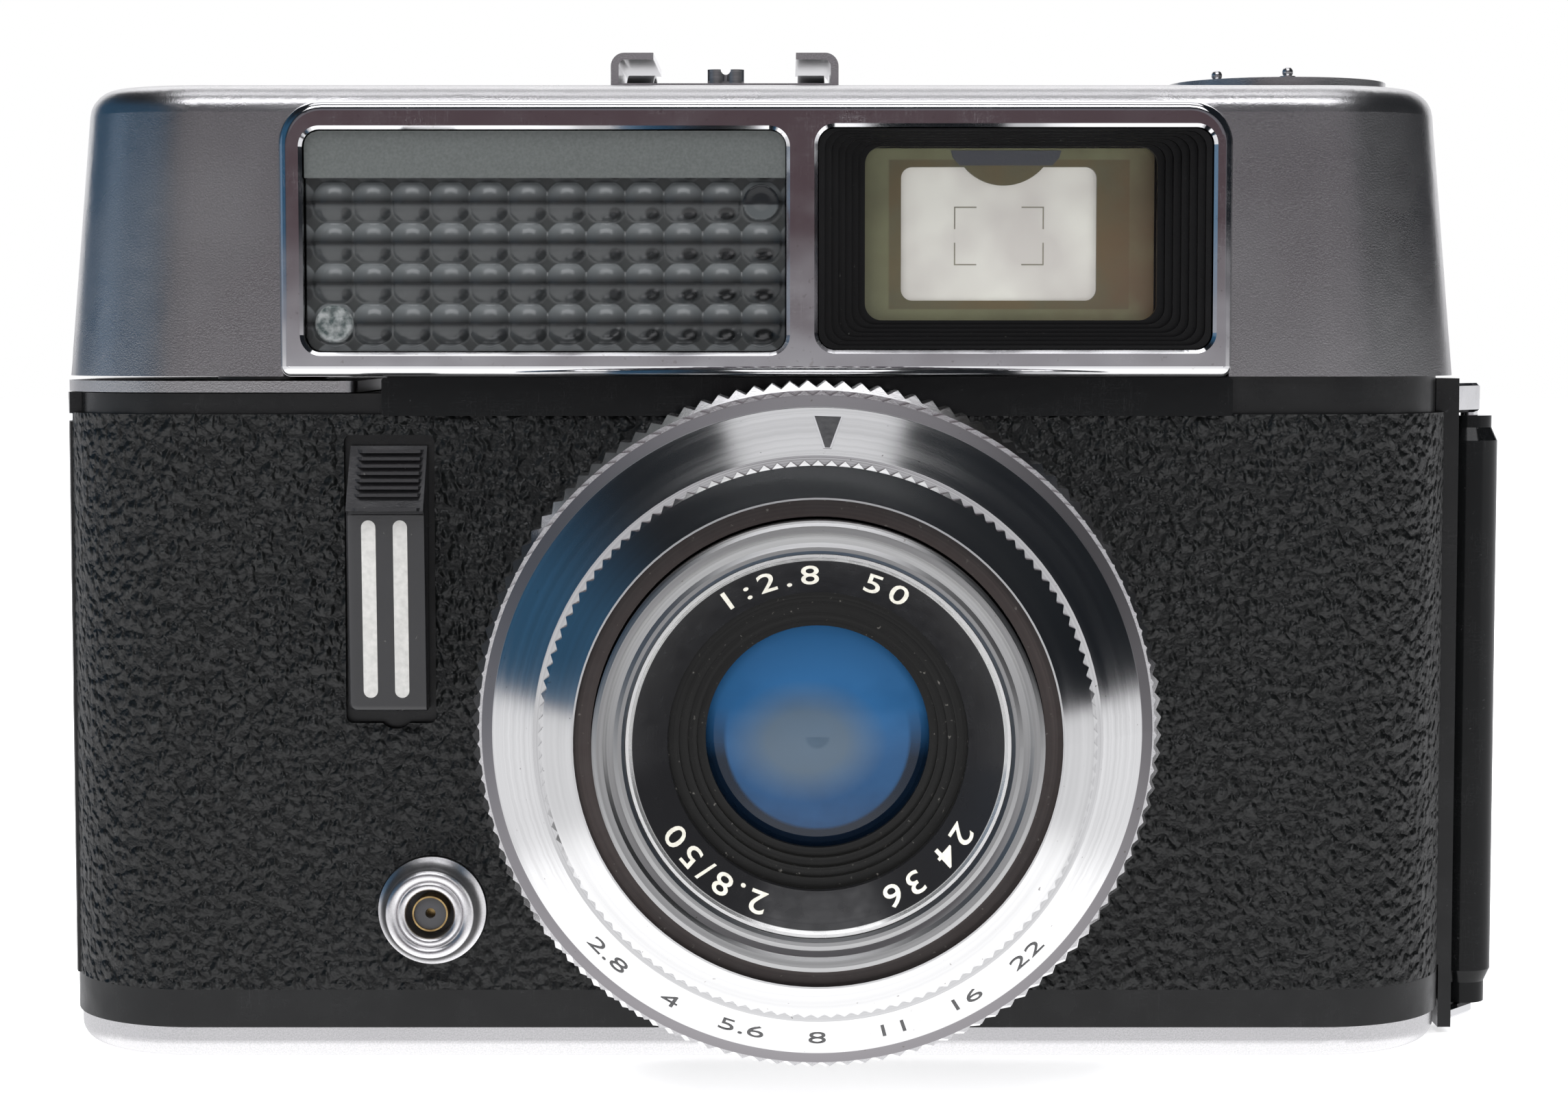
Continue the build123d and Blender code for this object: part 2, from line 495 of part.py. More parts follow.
with BuildPart() as shoe_spring:
    # thin leaf on the floor of the shoe, its front end folded up as a stop with a notch
    leaf_z = (SHOE_FLOOR, SHOE_FLOOR + SPRING_LEAF)
    block((SHOE_X - 9.0, SHOE_X + 9.0), (TONGUE_Y[0], TONGUE_Y[0] + 1.2), leaf_z)
    block(STOP_X, (-8.0, TONGUE_Y[0] + 1.2), leaf_z)
    with BuildSketch(Plane.XY.offset(SHOE_FLOOR)):
        with BuildLine():
            halves = ((STOP_X[0], STOP_MIDDLE - 0.125), (STOP_MIDDLE + 0.125, STOP_X[1]))
            for low, high in halves:
                ThreePointArc((low, STOP_Y[0]), ((low + high) / 2, STOP_Y[0] - 0.5), (high, STOP_Y[0]))
            Line((halves[0][1], STOP_Y[0]), (halves[1][0], STOP_Y[0]))
            Polyline((STOP_X[1], STOP_Y[0]), (STOP_X[1], STOP_Y[1]), (STOP_X[0], STOP_Y[1]),
                     (STOP_X[0], STOP_Y[0]))
        make_face()
    extrude(amount=STOP_TOP - SHOE_FLOOR)
    rod(STOP_MIDDLE, STOP_TOP, 0.45, (-9, -7), Mode.SUBTRACT)
    # bowed tongues under the lips press the accessory up
    for side in (-1, 1):
        with BuildSketch(Plane.YZ.offset(SHOE_X + side * 7.75 - TONGUE_WIDTH / 2)):
            with BuildLine():
                front, back = TONGUE_Y
                middle = (front + back) / 2
                top = SHOE_FLOOR + TONGUE_BOW
                ThreePointArc((front, SHOE_FLOOR), (middle, top), (back, SHOE_FLOOR))
                Line((back, SHOE_FLOOR), (back - 0.8, SHOE_FLOOR))
                under_back, under_front = (back - 0.8, SHOE_FLOOR), (front + 0.8, SHOE_FLOOR)
                ThreePointArc(under_back, (middle, top - SPRING_LEAF), under_front)
                Line((front + 0.8, SHOE_FLOOR), (front, SHOE_FLOOR))
            make_face()
        extrude(amount=TONGUE_WIDTH)
shoe_spring.part.label = "shoe_spring"

# ---------------------------------------------------------------- flash socket

SOCKET_HOLE_R = 2.1
SLEEVE_R = (1.42, 1.56)
CONTACT_R = 0.45
SOCKET_FLOOR = 16.2  # distances in front of the body centre
SLEEVE_FOOT, INSULATOR_FRONT, SLEEVE_FRONT = 16.7, 18.8, 19.1

with BuildPart() as flash_socket_ring:
    # flange with a hollow flank, and two round beads on its front
    with BuildSketch(SOCKET_SECTION):
        with BuildLine():
            flank_foot, flank_head = (SOCKET_FLANGE_R, -17.4), (3.95, -19.0)
            ThreePointArc(flank_foot, (4.16, -18.05), flank_head)
            Polyline(flank_head, (3.95, -19.3), (SOCKET_HOLE_R, -19.2), (SOCKET_HOLE_R, -SOCKET_FLOOR),
                     (SOCKET_FLANGE_R, -SOCKET_FLOOR), flank_foot)
        make_face()
        for bead_at, bead_front, bead_r in ((3.42, 19.3, 0.53), (2.51, 19.2, 0.41)):
            with Locations((bead_at, -bead_front)):
                Circle(bead_r)
    revolve(axis=SOCKET_AXIS)
flash_socket_ring.part.label = "flash_socket_ring"

with BuildPart() as flash_socket_insulator:
    insulator_points = [(CONTACT_R, SOCKET_FLOOR), (SOCKET_HOLE_R, SOCKET_FLOOR),
                        (SOCKET_HOLE_R, SLEEVE_FOOT), (SLEEVE_R[0], SLEEVE_FOOT),
                        (SLEEVE_R[0], INSULATOR_FRONT), (CONTACT_R, INSULATOR_FRONT)]
    revolve(half_section(SOCKET_SECTION, insulator_points), axis=SOCKET_AXIS)
flash_socket_insulator.part.label = "flash_socket_insulator"

with BuildPart() as flash_socket_contact:
    rod(SOCKET_X, SOCKET_Z, CONTACT_R, (-SOCKET_FLOOR - 1.0, -SOCKET_FLOOR))
    sleeve_points = [(SLEEVE_R[0], SLEEVE_FOOT), (SLEEVE_R[1], SLEEVE_FOOT), (SLEEVE_R[1], SLEEVE_FRONT),
                     (SLEEVE_R[0], SLEEVE_FRONT)]
    revolve(half_section(SOCKET_SECTION, sleeve_points), axis=SOCKET_AXIS)
flash_socket_contact.part.label = "flash_socket_contact"

# ---------------------------------------------------------------- back door

DOOR_Z = (BAND_TOP + 0.2, LEATHER_TOP - 0.2)
KNUCKLE_R = 2.6
KNUCKLE_END_R = 2.06
HINGE_PIN_R = 0.8
HINGE_EYE_R = 0.95  # of the eyes that hold the pin
LATCH_Y = (5.0, 9.0)
LATCH_Z = (26.0, 38.0)
LATCH_FACE = -HALF_WIDTH - 0.6

with BuildPart() as back_door:
    extrude(outline(DOOR_Z[0], SKIN), amount=DOOR_Z[1] - DOOR_Z[0])
    extrude(outline(0, SKIN + 1.3), amount=70, mode=Mode.SUBTRACT)
    block((-70, 70), (-20, DOOR_FRONT), (0, 70), Mode.SUBTRACT)
    # slot for the latch
    block((-64, -58), (6.2, 7.8), (27.0, 34.0), Mode.SUBTRACT)
back_door.part.label = "back_door"

with BuildPart() as door_leather:
    extrude(outline(DOOR_Z[0]), amount=DOOR_Z[1] - DOOR_Z[0])
    extrude(outline(0, SKIN), amount=70, mode=Mode.SUBTRACT)
    block((-70, 70), (-20, DOOR_FRONT), (0, 70), Mode.SUBTRACT)
    block((55, 70), (-20, 6.5), (0, 70), Mode.SUBTRACT)
    block((-70, -58), (LATCH_Y[0] - 0.5, LATCH_Y[1] + 0.5), (LATCH_Z[0] - 4, LATCH_Z[1] + 1), Mode.SUBTRACT)
door_leather.part.label = "door_leather"

with BuildPart() as door_knuckle:
    with BuildSketch(Plane(origin=(HINGE_X, HINGE_Y, 0), x_dir=(1, 0, 0), z_dir=(0, -1, 0))):
        with BuildLine():
            Polyline((0, 1.7), (KNUCKLE_END_R, 1.7), (KNUCKLE_END_R, 3.6), (KNUCKLE_R, 4.8),
                     (KNUCKLE_R, 54.2), (KNUCKLE_END_R, 55.4), (KNUCKLE_END_R, 56.5), (0, 56.5), close=True)
        make_face()
    revolve(axis=Axis((HINGE_X, HINGE_Y, 0), (0, 0, 1)))
    block((HALF_WIDTH - SKIN, HALF_WIDTH + 2.4), (DOOR_FRONT, 3.0), DOOR_Z)
    block((HALF_WIDTH - SKIN, HALF_WIDTH - 0.1), (DOOR_FRONT, 6.2), DOOR_Z)
    post(HINGE_X, HINGE_Y, HINGE_PIN_R + 0.07, (0, 60), Mode.SUBTRACT)
door_knuckle.part.label = "door_knuckle"

with BuildPart() as hinge_pin:
    # pin and the two eyes that hold it, soldered to the fixed leaf
    for eye_z in ((0.5, 1.6), (56.8, 59.5)):
        with BuildSketch(Plane.XY.offset(eye_z[0])):
            with Locations((HINGE_X, HINGE_Y), (HINGE_LEAF_X[1] - 0.4, HINGE_LEAF_Y[1] - 0.6)):
                Circle(HINGE_EYE_R)
            make_hull()
        extrude(amount=eye_z[1] - eye_z[0])
    block(HINGE_LEAF_X, HINGE_LEAF_Y, (0, 60), Mode.SUBTRACT)
    block((60, HINGE_LEAF_X[1]), (-10, HINGE_LEAF_Y[1]), (0, 60), Mode.SUBTRACT)
    chamfer(faces().filter_by(Axis.Z).edges().filter_by(GeomType.CIRCLE), 0.25)
    post(HINGE_X, HINGE_Y, HINGE_PIN_R, (1.0, 57.0))
hinge_pin.part.label = "hinge_pin"

with BuildPart() as door_latch:
    block((LATCH_FACE, -HALF_WIDTH + SKIN), LATCH_Y, LATCH_Z)
    fillet(faces().sort_by(Axis.X)[0].edges(), 0.4)
    rib_depth, rib_length = (LATCH_FACE - 0.4, LATCH_FACE + 0.3), (LATCH_Y[0] - 1, LATCH_Y[1] + 1)
    for rib in range(5):
        rib_z = LATCH_Z[0] + 1.6 + 2 * rib
        block(rib_depth, rib_length, (rib_z, rib_z + 0.6), Mode.SUBTRACT)
    block((-HALF_WIDTH + SKIN - 0.1, -59.3), (6.3, 7.7), (30.6, 33.6))
door_latch.part.label = "door_latch"

with BuildPart() as pressure_plate:
    extrude(window(12.2, (-16.5, 26.7), (LENS_Z - 17.5, LENS_Z + 17.5), 2.0), amount=0.7)
pressure_plate.part.label = "pressure_plate"

with BuildPart() as pressure_spring:
    door_inside = HALF_DEPTH - SKIN - 1.3
    with BuildSketch(Plane.XY.offset(LENS_Z - 4)):
        with BuildLine():
            ThreePointArc((-9.0, door_inside), (LENS_X, 12.2), (2 * LENS_X + 9.0, door_inside))
            Line((2 * LENS_X + 9.0, door_inside), (2 * LENS_X + 7.4, door_inside))
            ThreePointArc((2 * LENS_X + 7.4, door_inside), (LENS_X, 12.55), (-7.4, door_inside))
            Line((-7.4, door_inside), (-9.0, door_inside))
        make_face()
    extrude(amount=8)
pressure_spring.part.label = "pressure_spring"

# ---------------------------------------------------------------- film transport

SPOOL_Z = (6.6, 56.6)
SPROCKET_R = 6.05
SPROCKET_TEETH = 8

with BuildPart() as take_up_spool:
    post(WIND_X, WIND_Y, 6.2, SPOOL_Z)
    post(WIND_X, WIND_Y, 9.8, (SPOOL_Z[0], SPOOL_Z[0] + 1.2))
    post(WIND_X, WIND_Y, 9.8, (SPOOL_Z[1] - 1.2, SPOOL_Z[1]))
    post(WIND_X, WIND_Y, 2.0, (4.6, SPOOL_Z[0]))
    post(WIND_X, WIND_Y, 3.0, (SPOOL_Z[1], 57.8))
    block((WIND_X - 0.6, WIND_X + 0.6), (WIND_Y - 7, WIND_Y + 7), (14.0, 49.3), Mode.SUBTRACT)
take_up_spool.part.label = "take_up_spool"

with BuildPart() as sprocket:
    post(SPROCKET_X, SPROCKET_Y, 4.6, SPOOL_Z)
    post(SPROCKET_X, SPROCKET_Y, 2.0, (4.6, 58.1))
    for rim_z in (LENS_Z - 14.24, LENS_Z + 14.24):
        post(SPROCKET_X, SPROCKET_Y, SPROCKET_R, (rim_z - 1.6, rim_z + 1.6))
        with Locations((SPROCKET_X, SPROCKET_Y, rim_z)):
            with PolarLocations(SPROCKET_R, SPROCKET_TEETH, start_angle=22.5):
                Box(2.0, 1.3, 1.5)
sprocket.part.label = "sprocket"

COUNTER_Z = (82.9, 83.6)

with BuildPart() as lever_hub:
    post(WIND_X, WIND_Y, 3.0, (58.0, LEVER_LOW))
    post(WIND_X, WIND_Y, 2.5, (LEVER_LOW, LEVER_HIGH))
    post(WIND_X, WIND_Y, 5.0, (LEVER_HIGH, 61.4))
    post(WIND_X, WIND_Y, 1.5, (61.4, 83.4))
lever_hub.part.label = "lever_hub"

with BuildPart() as advance_lever:
    with BuildSketch(Plane.XY.offset(LEVER_LOW)):
        RectangleRounded(2 * (HALF_WIDTH + 0.1), 2 * (HALF_DEPTH - 0.4), CORNER_R - 0.4)
        with Locations((LEVER_END_X, 0)):
            Rectangle(200, 60, align=(Align.MIN, Align.CENTER), mode=Mode.SUBTRACT)
        fillet(vertices().sort_by(Axis.X)[-2:], 1.2)
        with Locations((-54.5, 15.5)):
            RectangleRounded(11.0, 9.0, 2.0)
    extrude(amount=LEVER_HIGH - LEVER_LOW)
    # turned-down lip for the thumb
    with BuildSketch(Plane.XY.offset(57.4)):
        with Locations((-54.5, 19.4)):
            RectangleRounded(10.0, 1.2, 0.5)
    extrude(amount=LEVER_HIGH - 57.4)
    post(WIND_X, WIND_Y, 2.5, (58, 61), Mode.SUBTRACT)
advance_lever.part.label = "advance_lever"

with BuildPart() as counter_dial:
    post(WIND_X, WIND_Y, 8.6, COUNTER_Z)
    post(WIND_X, WIND_Y, 1.5 + RUN, (82, 85), Mode.SUBTRACT)
counter_dial.part.label = "counter_dial"

with BuildPart() as counter_window:
    with BuildSketch(Plane.XY.offset(COVER_TOP - COVER_WALL)):
        with Locations((WIND_X, WIND_Y + 5.5)):
            RectangleRounded(6, 4, 0.8)
    extrude(amount=COVER_WALL - 0.15)
counter_window.part.label = "counter_window"

# ---------------------------------------------------------------- rewind

KNOB_Z = (80.4, 86.35)
KNOB_R = 8.35
KNOB_TEETH = 60
SHAFT_R = 1.9
FORK_LOW = 49.5

with BuildPart() as rewind_knob:
    with BuildSketch(Plane.XY.offset(KNOB_Z[0])):
        with BuildLine():
            grip_points = []
            for index in range(KNOB_TEETH):
                for radius, share in ((KNOB_R - 0.25, 0), (KNOB_R, 0.5)):
                    angle = math.tau * (index + share) / KNOB_TEETH
                    grip_x = REWIND_X + radius * math.cos(angle)
                    grip_points.append((grip_x, REWIND_Y + radius * math.sin(angle)))
            Polyline(*grip_points, close=True)
        make_face()
    extrude(amount=KNOB_Z[1] - KNOB_Z[0])
    post(REWIND_X, REWIND_Y, 7.2, (80, 85), Mode.SUBTRACT)
    post(REWIND_X, REWIND_Y, 3.4, (KNOB_Z[0], 85))
    post(REWIND_X, REWIND_Y, SHAFT_R, (80, 84), Mode.SUBTRACT)
    post(REWIND_X, REWIND_Y, 2.1, (85.3, 88), Mode.SUBTRACT)
rewind_knob.part.label = "rewind_knob"

DIAL_Z = (86.45, 86.95)
PIN_BALL_R = 0.5

with BuildPart() as reminder_dial:
    post(REWIND_X, REWIND_Y, 7.8, DIAL_Z)
    post(REWIND_X, REWIND_Y, 2.0, (85.4, DIAL_Z[0]))
    # two ball-headed pins, each on a small foot, to turn the dial by
    for pin_x, pin_y in ((-5.75, -2.2), (0.1, -6.1)):
        post(REWIND_X + pin_x, REWIND_Y + pin_y, 0.72, (DIAL_Z[1] - 0.1, DIAL_Z[1] + 0.2))
        with Locations((REWIND_X + pin_x, REWIND_Y + pin_y, DIAL_Z[1] + 0.55)):
            Sphere(PIN_BALL_R)
reminder_dial.part.label = "reminder_dial"

with BuildPart() as rewind_shaft:
    post(REWIND_X, REWIND_Y, SHAFT_R, (55, 84))
    post(REWIND_X, REWIND_Y, 2.6, (FORK_LOW, 56.2))
    block((REWIND_X - 5, REWIND_X + 5), (REWIND_Y - 0.8, REWIND_Y + 0.8), (FORK_LOW - 1, 53), Mode.SUBTRACT)
rewind_shaft.part.label = "rewind_shaft"

with BuildPart() as rewind_sleeve:
    post(REWIND_X, REWIND_Y, 3.6, (60.6, 70.0))
    post(REWIND_X, REWIND_Y, SHAFT_R + RUN, (60, 71), Mode.SUBTRACT)
rewind_sleeve.part.label = "rewind_sleeve"

# ---------------------------------------------------------------- release

RIBS = 7
SPRING_TOP = 37.0
SLIDER_BACK = -16.5
SLIDER_TOP = 54.25
GRIP_LOW = 48.75
PLATE_X = (-35.65, -28.8)
PLATE_LOW, PLATE_HIGH = 31.15, 48.35
PLATE_FOOT_Y, PLATE_HEAD_Y = -18.9, -19.9  # the face leans forward towards its top
CREST_FOOT_Y, CREST_HEAD_Y = -21.0, -17.2
RIB_DEPTH = 0.45
CREST_X = (-34.35, -29.3)

with BuildPart() as release_slider:
    # long plate
    with BuildSketch(Plane.YZ.offset(PLATE_X[0])):
        with BuildLine():
            Polyline((SLIDER_BACK, PLATE_LOW), (PLATE_FOOT_Y, PLATE_LOW), (PLATE_HEAD_Y, PLATE_HIGH),
                     (SLIDER_BACK, PLATE_HIGH), close=True)
        make_face()
    extrude(amount=PLATE_X[1] - PLATE_X[0])
    fillet(edges().filter_by(Axis.X).group_by(Axis.Z)[0].sort_by(Axis.Y)[0], 0.5)
    fillet(edges().filter_by(Axis.Y).group_by(Axis.Z)[0].sort_by(Axis.X)[0], 0.8)
    # ribbed grip that slopes back towards its top, as a stack of ribs on a plain wedge
    with BuildSketch(Plane.YZ.offset(PLATE_X[0] + 0.15)):
        with BuildLine():
            Polyline((SLIDER_BACK, GRIP_LOW - 0.5), (PLATE_HEAD_Y + 0.3, GRIP_LOW - 0.5),
                     (CREST_FOOT_Y + RIB_DEPTH, GRIP_LOW), (CREST_HEAD_Y + RIB_DEPTH, SLIDER_TOP),
                     (SLIDER_BACK, SLIDER_TOP), close=True)
        make_face()
    extrude(amount=PLATE_X[1] - PLATE_X[0] - 0.15)
    rib_pitch = (SLIDER_TOP - GRIP_LOW - 1.2) / RIBS
    slope = (CREST_HEAD_Y - CREST_FOOT_Y) / (SLIDER_TOP - GRIP_LOW)
    for low in [GRIP_LOW] + [GRIP_LOW + 1.2 + rib_pitch * index for index in range(RIBS)]:
        rib_y = CREST_FOOT_Y + slope * (low - GRIP_LOW)
        with BuildSketch(Plane.XY.offset(low)) as rib_foot:
            with BuildLine():
                Polyline((PLATE_X[0] + 0.15, rib_y + 1.3), (CREST_X[0], rib_y), (CREST_X[1], rib_y),
                         (PLATE_X[1], rib_y + 1.3), close=True)
            make_face()
        extrude(amount=0.42 * rib_pitch)
    # stem through the casting, and the plate that keeps the slider in
    stem_top = RELEASE_SLOT_Z[1] - 0.4
    block((SLIDER_CENTRE - 2.0, SLIDER_CENTRE + 2.0), (SLIDER_BACK - 0.1, -12.2), (38.0, stem_top))
    block((SLIDER_CENTRE - 3.1, SLIDER_CENTRE + 3.1), (-14.4, -12.2), (SPRING_TOP, stem_top))
release_slider.part.label = "release_slider"

with BuildPart() as release_spring:
    post(SLIDER_CENTRE, SPRING_Y, 1.1, (SPRING_SEAT, SPRING_TOP))
    post(SLIDER_CENTRE, SPRING_Y, 0.7, (SPRING_SEAT - 1, SPRING_TOP + 1), Mode.SUBTRACT)
release_spring.part.label = "release_spring"

# ---------------------------------------------------------------- lens and shutter

HOUSING_R = 27.2
RING_SEAT_R = 26.0
KNURL_TEETH = 120
FOCUS_TEETH = 130
BLADE = 0.2
BLADE_LOBE_R = 7.8
SHUTTER_PIVOT = 18.0
APERTURE_PIVOT = 21.0
PLATE_FRONT = 29.0

with BuildPart() as shutter_housing:
    turned([(9.8, 10.0), (11.8, 10.0), (11.8, 16.2), (HOUSING_R, 16.2), (HOUSING_R, 25.4), (26.8, 25.9),
            (RING_SEAT_R, 25.9), (RING_SEAT_R, 36.6), (24.0, 36.6), (24.0, 18.0), (13.0, 18.0),
            (13.0, 22.0), (9.8, 22.0)])
shutter_housing.part.label = "shutter_housing"

with BuildPart() as shutter_plate:
    turned([(6.5, 29.0), (23.95, 29.0), (23.95, 30.0), (15.0, 30.0), (15.0, 41.4), (13.4, 41.4),
            (13.4, 34.6), (10.0, 34.6), (10.0, 31.4), (6.5, 31.4)])
    pivots = ((0, SHUTTER_PIVOT), (0, -SHUTTER_PIVOT), (APERTURE_PIVOT, 0), (-APERTURE_PIVOT, 0))
    for pivot_x, pivot_z in pivots:
        rod(LENS_X + pivot_x, LENS_Z + pivot_z, 0.9, (-32, -28), Mode.SUBTRACT)
shutter_plate.part.label = "shutter_plate"

with BuildPart() as setting_ring:
    extrude(toothed(26.2, 28.5, 27.95, KNURL_TEETH), amount=8.8)
    turned([(0, 25), (28.2, 26.2), (28.6, 26.7), (28.6, 33.4), (27.75, 35.0), (0, 35.0)], Mode.INTERSECT)
    extrude(toothed(35.0, 27.75, 27.35, KNURL_TEETH, 0.25), amount=1.9)
    turned([(0, 25), (RING_SEAT_R + RUN, 25), (RING_SEAT_R + RUN, 38), (0, 38)], Mode.SUBTRACT)
setting_ring.part.label = "setting_ring"

with BuildPart() as face_cone:
    turned([(26.0, 36.6), (26.0, 37.05), (27.36, 37.05), (27.36, 37.15), (26.4, 37.8), (22.75, 42.95),
            (21.0, 42.95), (21.0, 41.9), (21.9, 41.9), (25.2, 37.2), (25.2, 36.6)])
face_cone.part.label = "face_cone"

with BuildPart() as focus_ring:
    extrude(toothed(43.1, 22.35, 21.9, FOCUS_TEETH), amount=0.9)
    turned([(0, 43), (22.35, 43), (22.35, 43.35), (21.95, 44.0), (0, 44.0)], Mode.INTERSECT)
    turned([(0, 38.6), (21.0 - RUN, 38.6), (21.0 - RUN, 43.2), (0, 43.2)])
    turned([(0, 43.5), (21.95, 43.5), (21.95, 44.0), (19.5, 45.8), (0, 45.8)])
    turned([(0, 38), (18.0, 38), (18.0, 44.4), (19.35, 44.4), (19.35, 46), (0, 46)], Mode.SUBTRACT)
focus_ring.part.label = "focus_ring"

with BuildPart() as focus_liner:
    turned([(18.0, 44.4), (19.35, 44.4), (19.35, 45.1), (18.0, 45.1)])
focus_liner.part.label = "focus_liner"

with BuildPart() as front_rim:
    turned([(15.2, 38.5), (17.6, 38.5), (17.6, 45.1), (17.8, 45.1), (17.8, 47.6), (17.65, 47.85),
            (17.4, 48.0), (16.9, 48.0), (16.6, 47.7), (16.1, 47.6), (15.75, 47.75), (15.45, 47.75),
            (15.2, 47.4)])
front_rim.part.label = "front_rim"

with BuildPart() as name_ring:
    turned([(15.15, 47.2), (14.9, 47.2), (11.95, 44.2), (11.95, 43.2), (12.4, 43.2), (15.15, 45.9)])
name_ring.part.label = "name_ring"

with BuildPart() as front_baffle:
    turned([(9.6, 37.0), (13.2, 37.0), (13.2, 41.9), (15.1, 41.9), (15.1, 43.1), (11.9, 43.1), (11.9, 42.8),
            (11.1, 42.8), (11.1, 42.2), (10.4, 42.2), (10.4, 41.5), (9.7, 41.5), (9.7, 40.8), (9.0, 40.8),
            (9.0, 40.1), (9.6, 40.1)])
front_baffle.part.label = "front_baffle"

with BuildPart() as front_element:
    revolve(glass(9.5, 36.4, 41.0, 0.6, 1.5), axis=LENS_AXIS)
front_element.part.label = "front_element"

with BuildPart() as middle_element:
    revolve(glass(9.9, 32.7, 33.5, -1.2, -1.0), axis=LENS_AXIS)
middle_element.part.label = "middle_element"

with BuildPart() as rear_element:
    revolve(glass(9.7, 11.2, 16.6, 1.0, 1.2), axis=LENS_AXIS)
rear_element.part.label = "rear_element"


def blade(front, pivot, lobe):
    """Solid leaf on its own pivot pin, which reaches forward into the shutter plate."""
    pivot_x, pivot_z = pivot
    with BuildPart() as leaf:
        with BuildSketch(lens_plane(front)):
            with Locations(pivot):
                Circle(1.6)
            with Locations(lobe):
                Circle(BLADE_LOBE_R)
            make_hull()
        extrude(amount=BLADE)
        rod(LENS_X + pivot_x, LENS_Z + pivot_z, 0.8, (-29.8, -front))
    return leaf


SHUTTER_LOBE = 3.6
APERTURE_LOBE = 9.6

shutter_blade_1 = blade(27.6, (0, SHUTTER_PIVOT), (SHUTTER_LOBE, 0))
shutter_blade_1.part.label = "shutter_blade_1"
shutter_blade_2 = blade(28.1, (0, -SHUTTER_PIVOT), (-SHUTTER_LOBE, 0))
shutter_blade_2.part.label = "shutter_blade_2"
aperture_blade_1 = blade(26.6, (APERTURE_PIVOT, 0), (0, -APERTURE_LOBE))
aperture_blade_1.part.label = "aperture_blade_1"
aperture_blade_2 = blade(27.1, (-APERTURE_PIVOT, 0), (0, APERTURE_LOBE))
aperture_blade_2.part.label = "aperture_blade_2"

# ---------------------------------------------------------------- files

PIECES = [
    body_casting, front_leather, waist_panel, base_plate, tripod_bush, base_screws, film_gate,
    top_cover, cover_screws, window_frame, meter_window, selenium_cell, meter_movement, meter_needle,
    finder_funnel, finder_front_lens, finder_tunnel, finder_mask, eyepiece_bezel, finder_rear_lens,
    accessory_shoe, shoe_spring, flash_socket_ring, flash_socket_insulator, flash_socket_contact,
    back_door, door_leather, door_knuckle, hinge_pin, door_latch, pressure_plate, pressure_spring,
    take_up_spool, sprocket, lever_hub, advance_lever, counter_dial, counter_window,
    rewind_knob, reminder_dial, rewind_shaft, rewind_sleeve, release_slider, release_spring,
    shutter_housing, shutter_plate, setting_ring, face_cone, focus_ring, focus_liner, front_rim,
    name_ring, front_baffle, front_element, middle_element, rear_element,
    shutter_blade_1, shutter_blade_2, aperture_blade_1, aperture_blade_2,
]

os.makedirs("parts", exist_ok=True)
for piece in PIECES:
    export_step(piece.part, f"parts/{piece.part.label}.step")
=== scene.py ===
import math

import bmesh
import bpy
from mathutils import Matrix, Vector


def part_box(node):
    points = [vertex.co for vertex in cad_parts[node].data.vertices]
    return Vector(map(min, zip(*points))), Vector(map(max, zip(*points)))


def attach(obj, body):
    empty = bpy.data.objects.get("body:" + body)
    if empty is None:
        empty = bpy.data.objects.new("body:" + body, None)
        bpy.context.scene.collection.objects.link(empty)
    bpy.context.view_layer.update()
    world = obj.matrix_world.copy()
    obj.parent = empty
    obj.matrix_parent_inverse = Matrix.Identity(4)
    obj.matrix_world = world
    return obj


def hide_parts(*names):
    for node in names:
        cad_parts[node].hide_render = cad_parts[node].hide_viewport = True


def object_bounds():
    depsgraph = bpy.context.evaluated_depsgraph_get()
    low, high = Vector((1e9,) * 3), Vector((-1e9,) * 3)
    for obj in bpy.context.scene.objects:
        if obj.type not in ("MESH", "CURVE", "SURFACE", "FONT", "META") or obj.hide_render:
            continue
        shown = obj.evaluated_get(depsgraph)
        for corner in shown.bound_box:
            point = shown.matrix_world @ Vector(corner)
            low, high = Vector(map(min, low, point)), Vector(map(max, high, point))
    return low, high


MM = 0.001
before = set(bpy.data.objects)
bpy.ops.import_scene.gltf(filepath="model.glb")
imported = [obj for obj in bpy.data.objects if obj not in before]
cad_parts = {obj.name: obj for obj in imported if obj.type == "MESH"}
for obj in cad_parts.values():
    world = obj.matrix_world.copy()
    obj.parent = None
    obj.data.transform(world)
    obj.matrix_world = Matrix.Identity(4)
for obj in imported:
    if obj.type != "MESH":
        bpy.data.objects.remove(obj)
cad_low, cad_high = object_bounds()


def middle(node):
    """Centre of a CAD node's box."""
    low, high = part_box(node)
    return (low + high) / 2


LENS = middle("face_cone")
KNOB = middle("reminder_dial")
COUNTER = middle("counter_dial")

# rows of small lenses on the meter's window below its plain strip, in millimetres
METER_COLUMNS, METER_ROWS = 12, 4
METER_PITCH_X, METER_PITCH_Z = 3.37, 3.5
METER_STRIP_HEIGHT, METER_STRIP_GAP, METER_SHIFT_X = 4.05, 0.35, 0.15
METER_STRIP_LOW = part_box("meter_window")[1].z / MM - METER_STRIP_HEIGHT
METER_FIRST_X = middle("meter_window").x / MM - METER_PITCH_X * (METER_COLUMNS - 1) / 2 + METER_SHIFT_X
METER_LAST_X = METER_FIRST_X + METER_PITCH_X * (METER_COLUMNS - 1)
METER_FIRST_Z = METER_STRIP_LOW - METER_STRIP_GAP - METER_PITCH_Z / 2
METER_LAST_Z = METER_FIRST_Z - METER_PITCH_Z * (METER_ROWS - 1)

# ---------------------------------------------------------------- looks


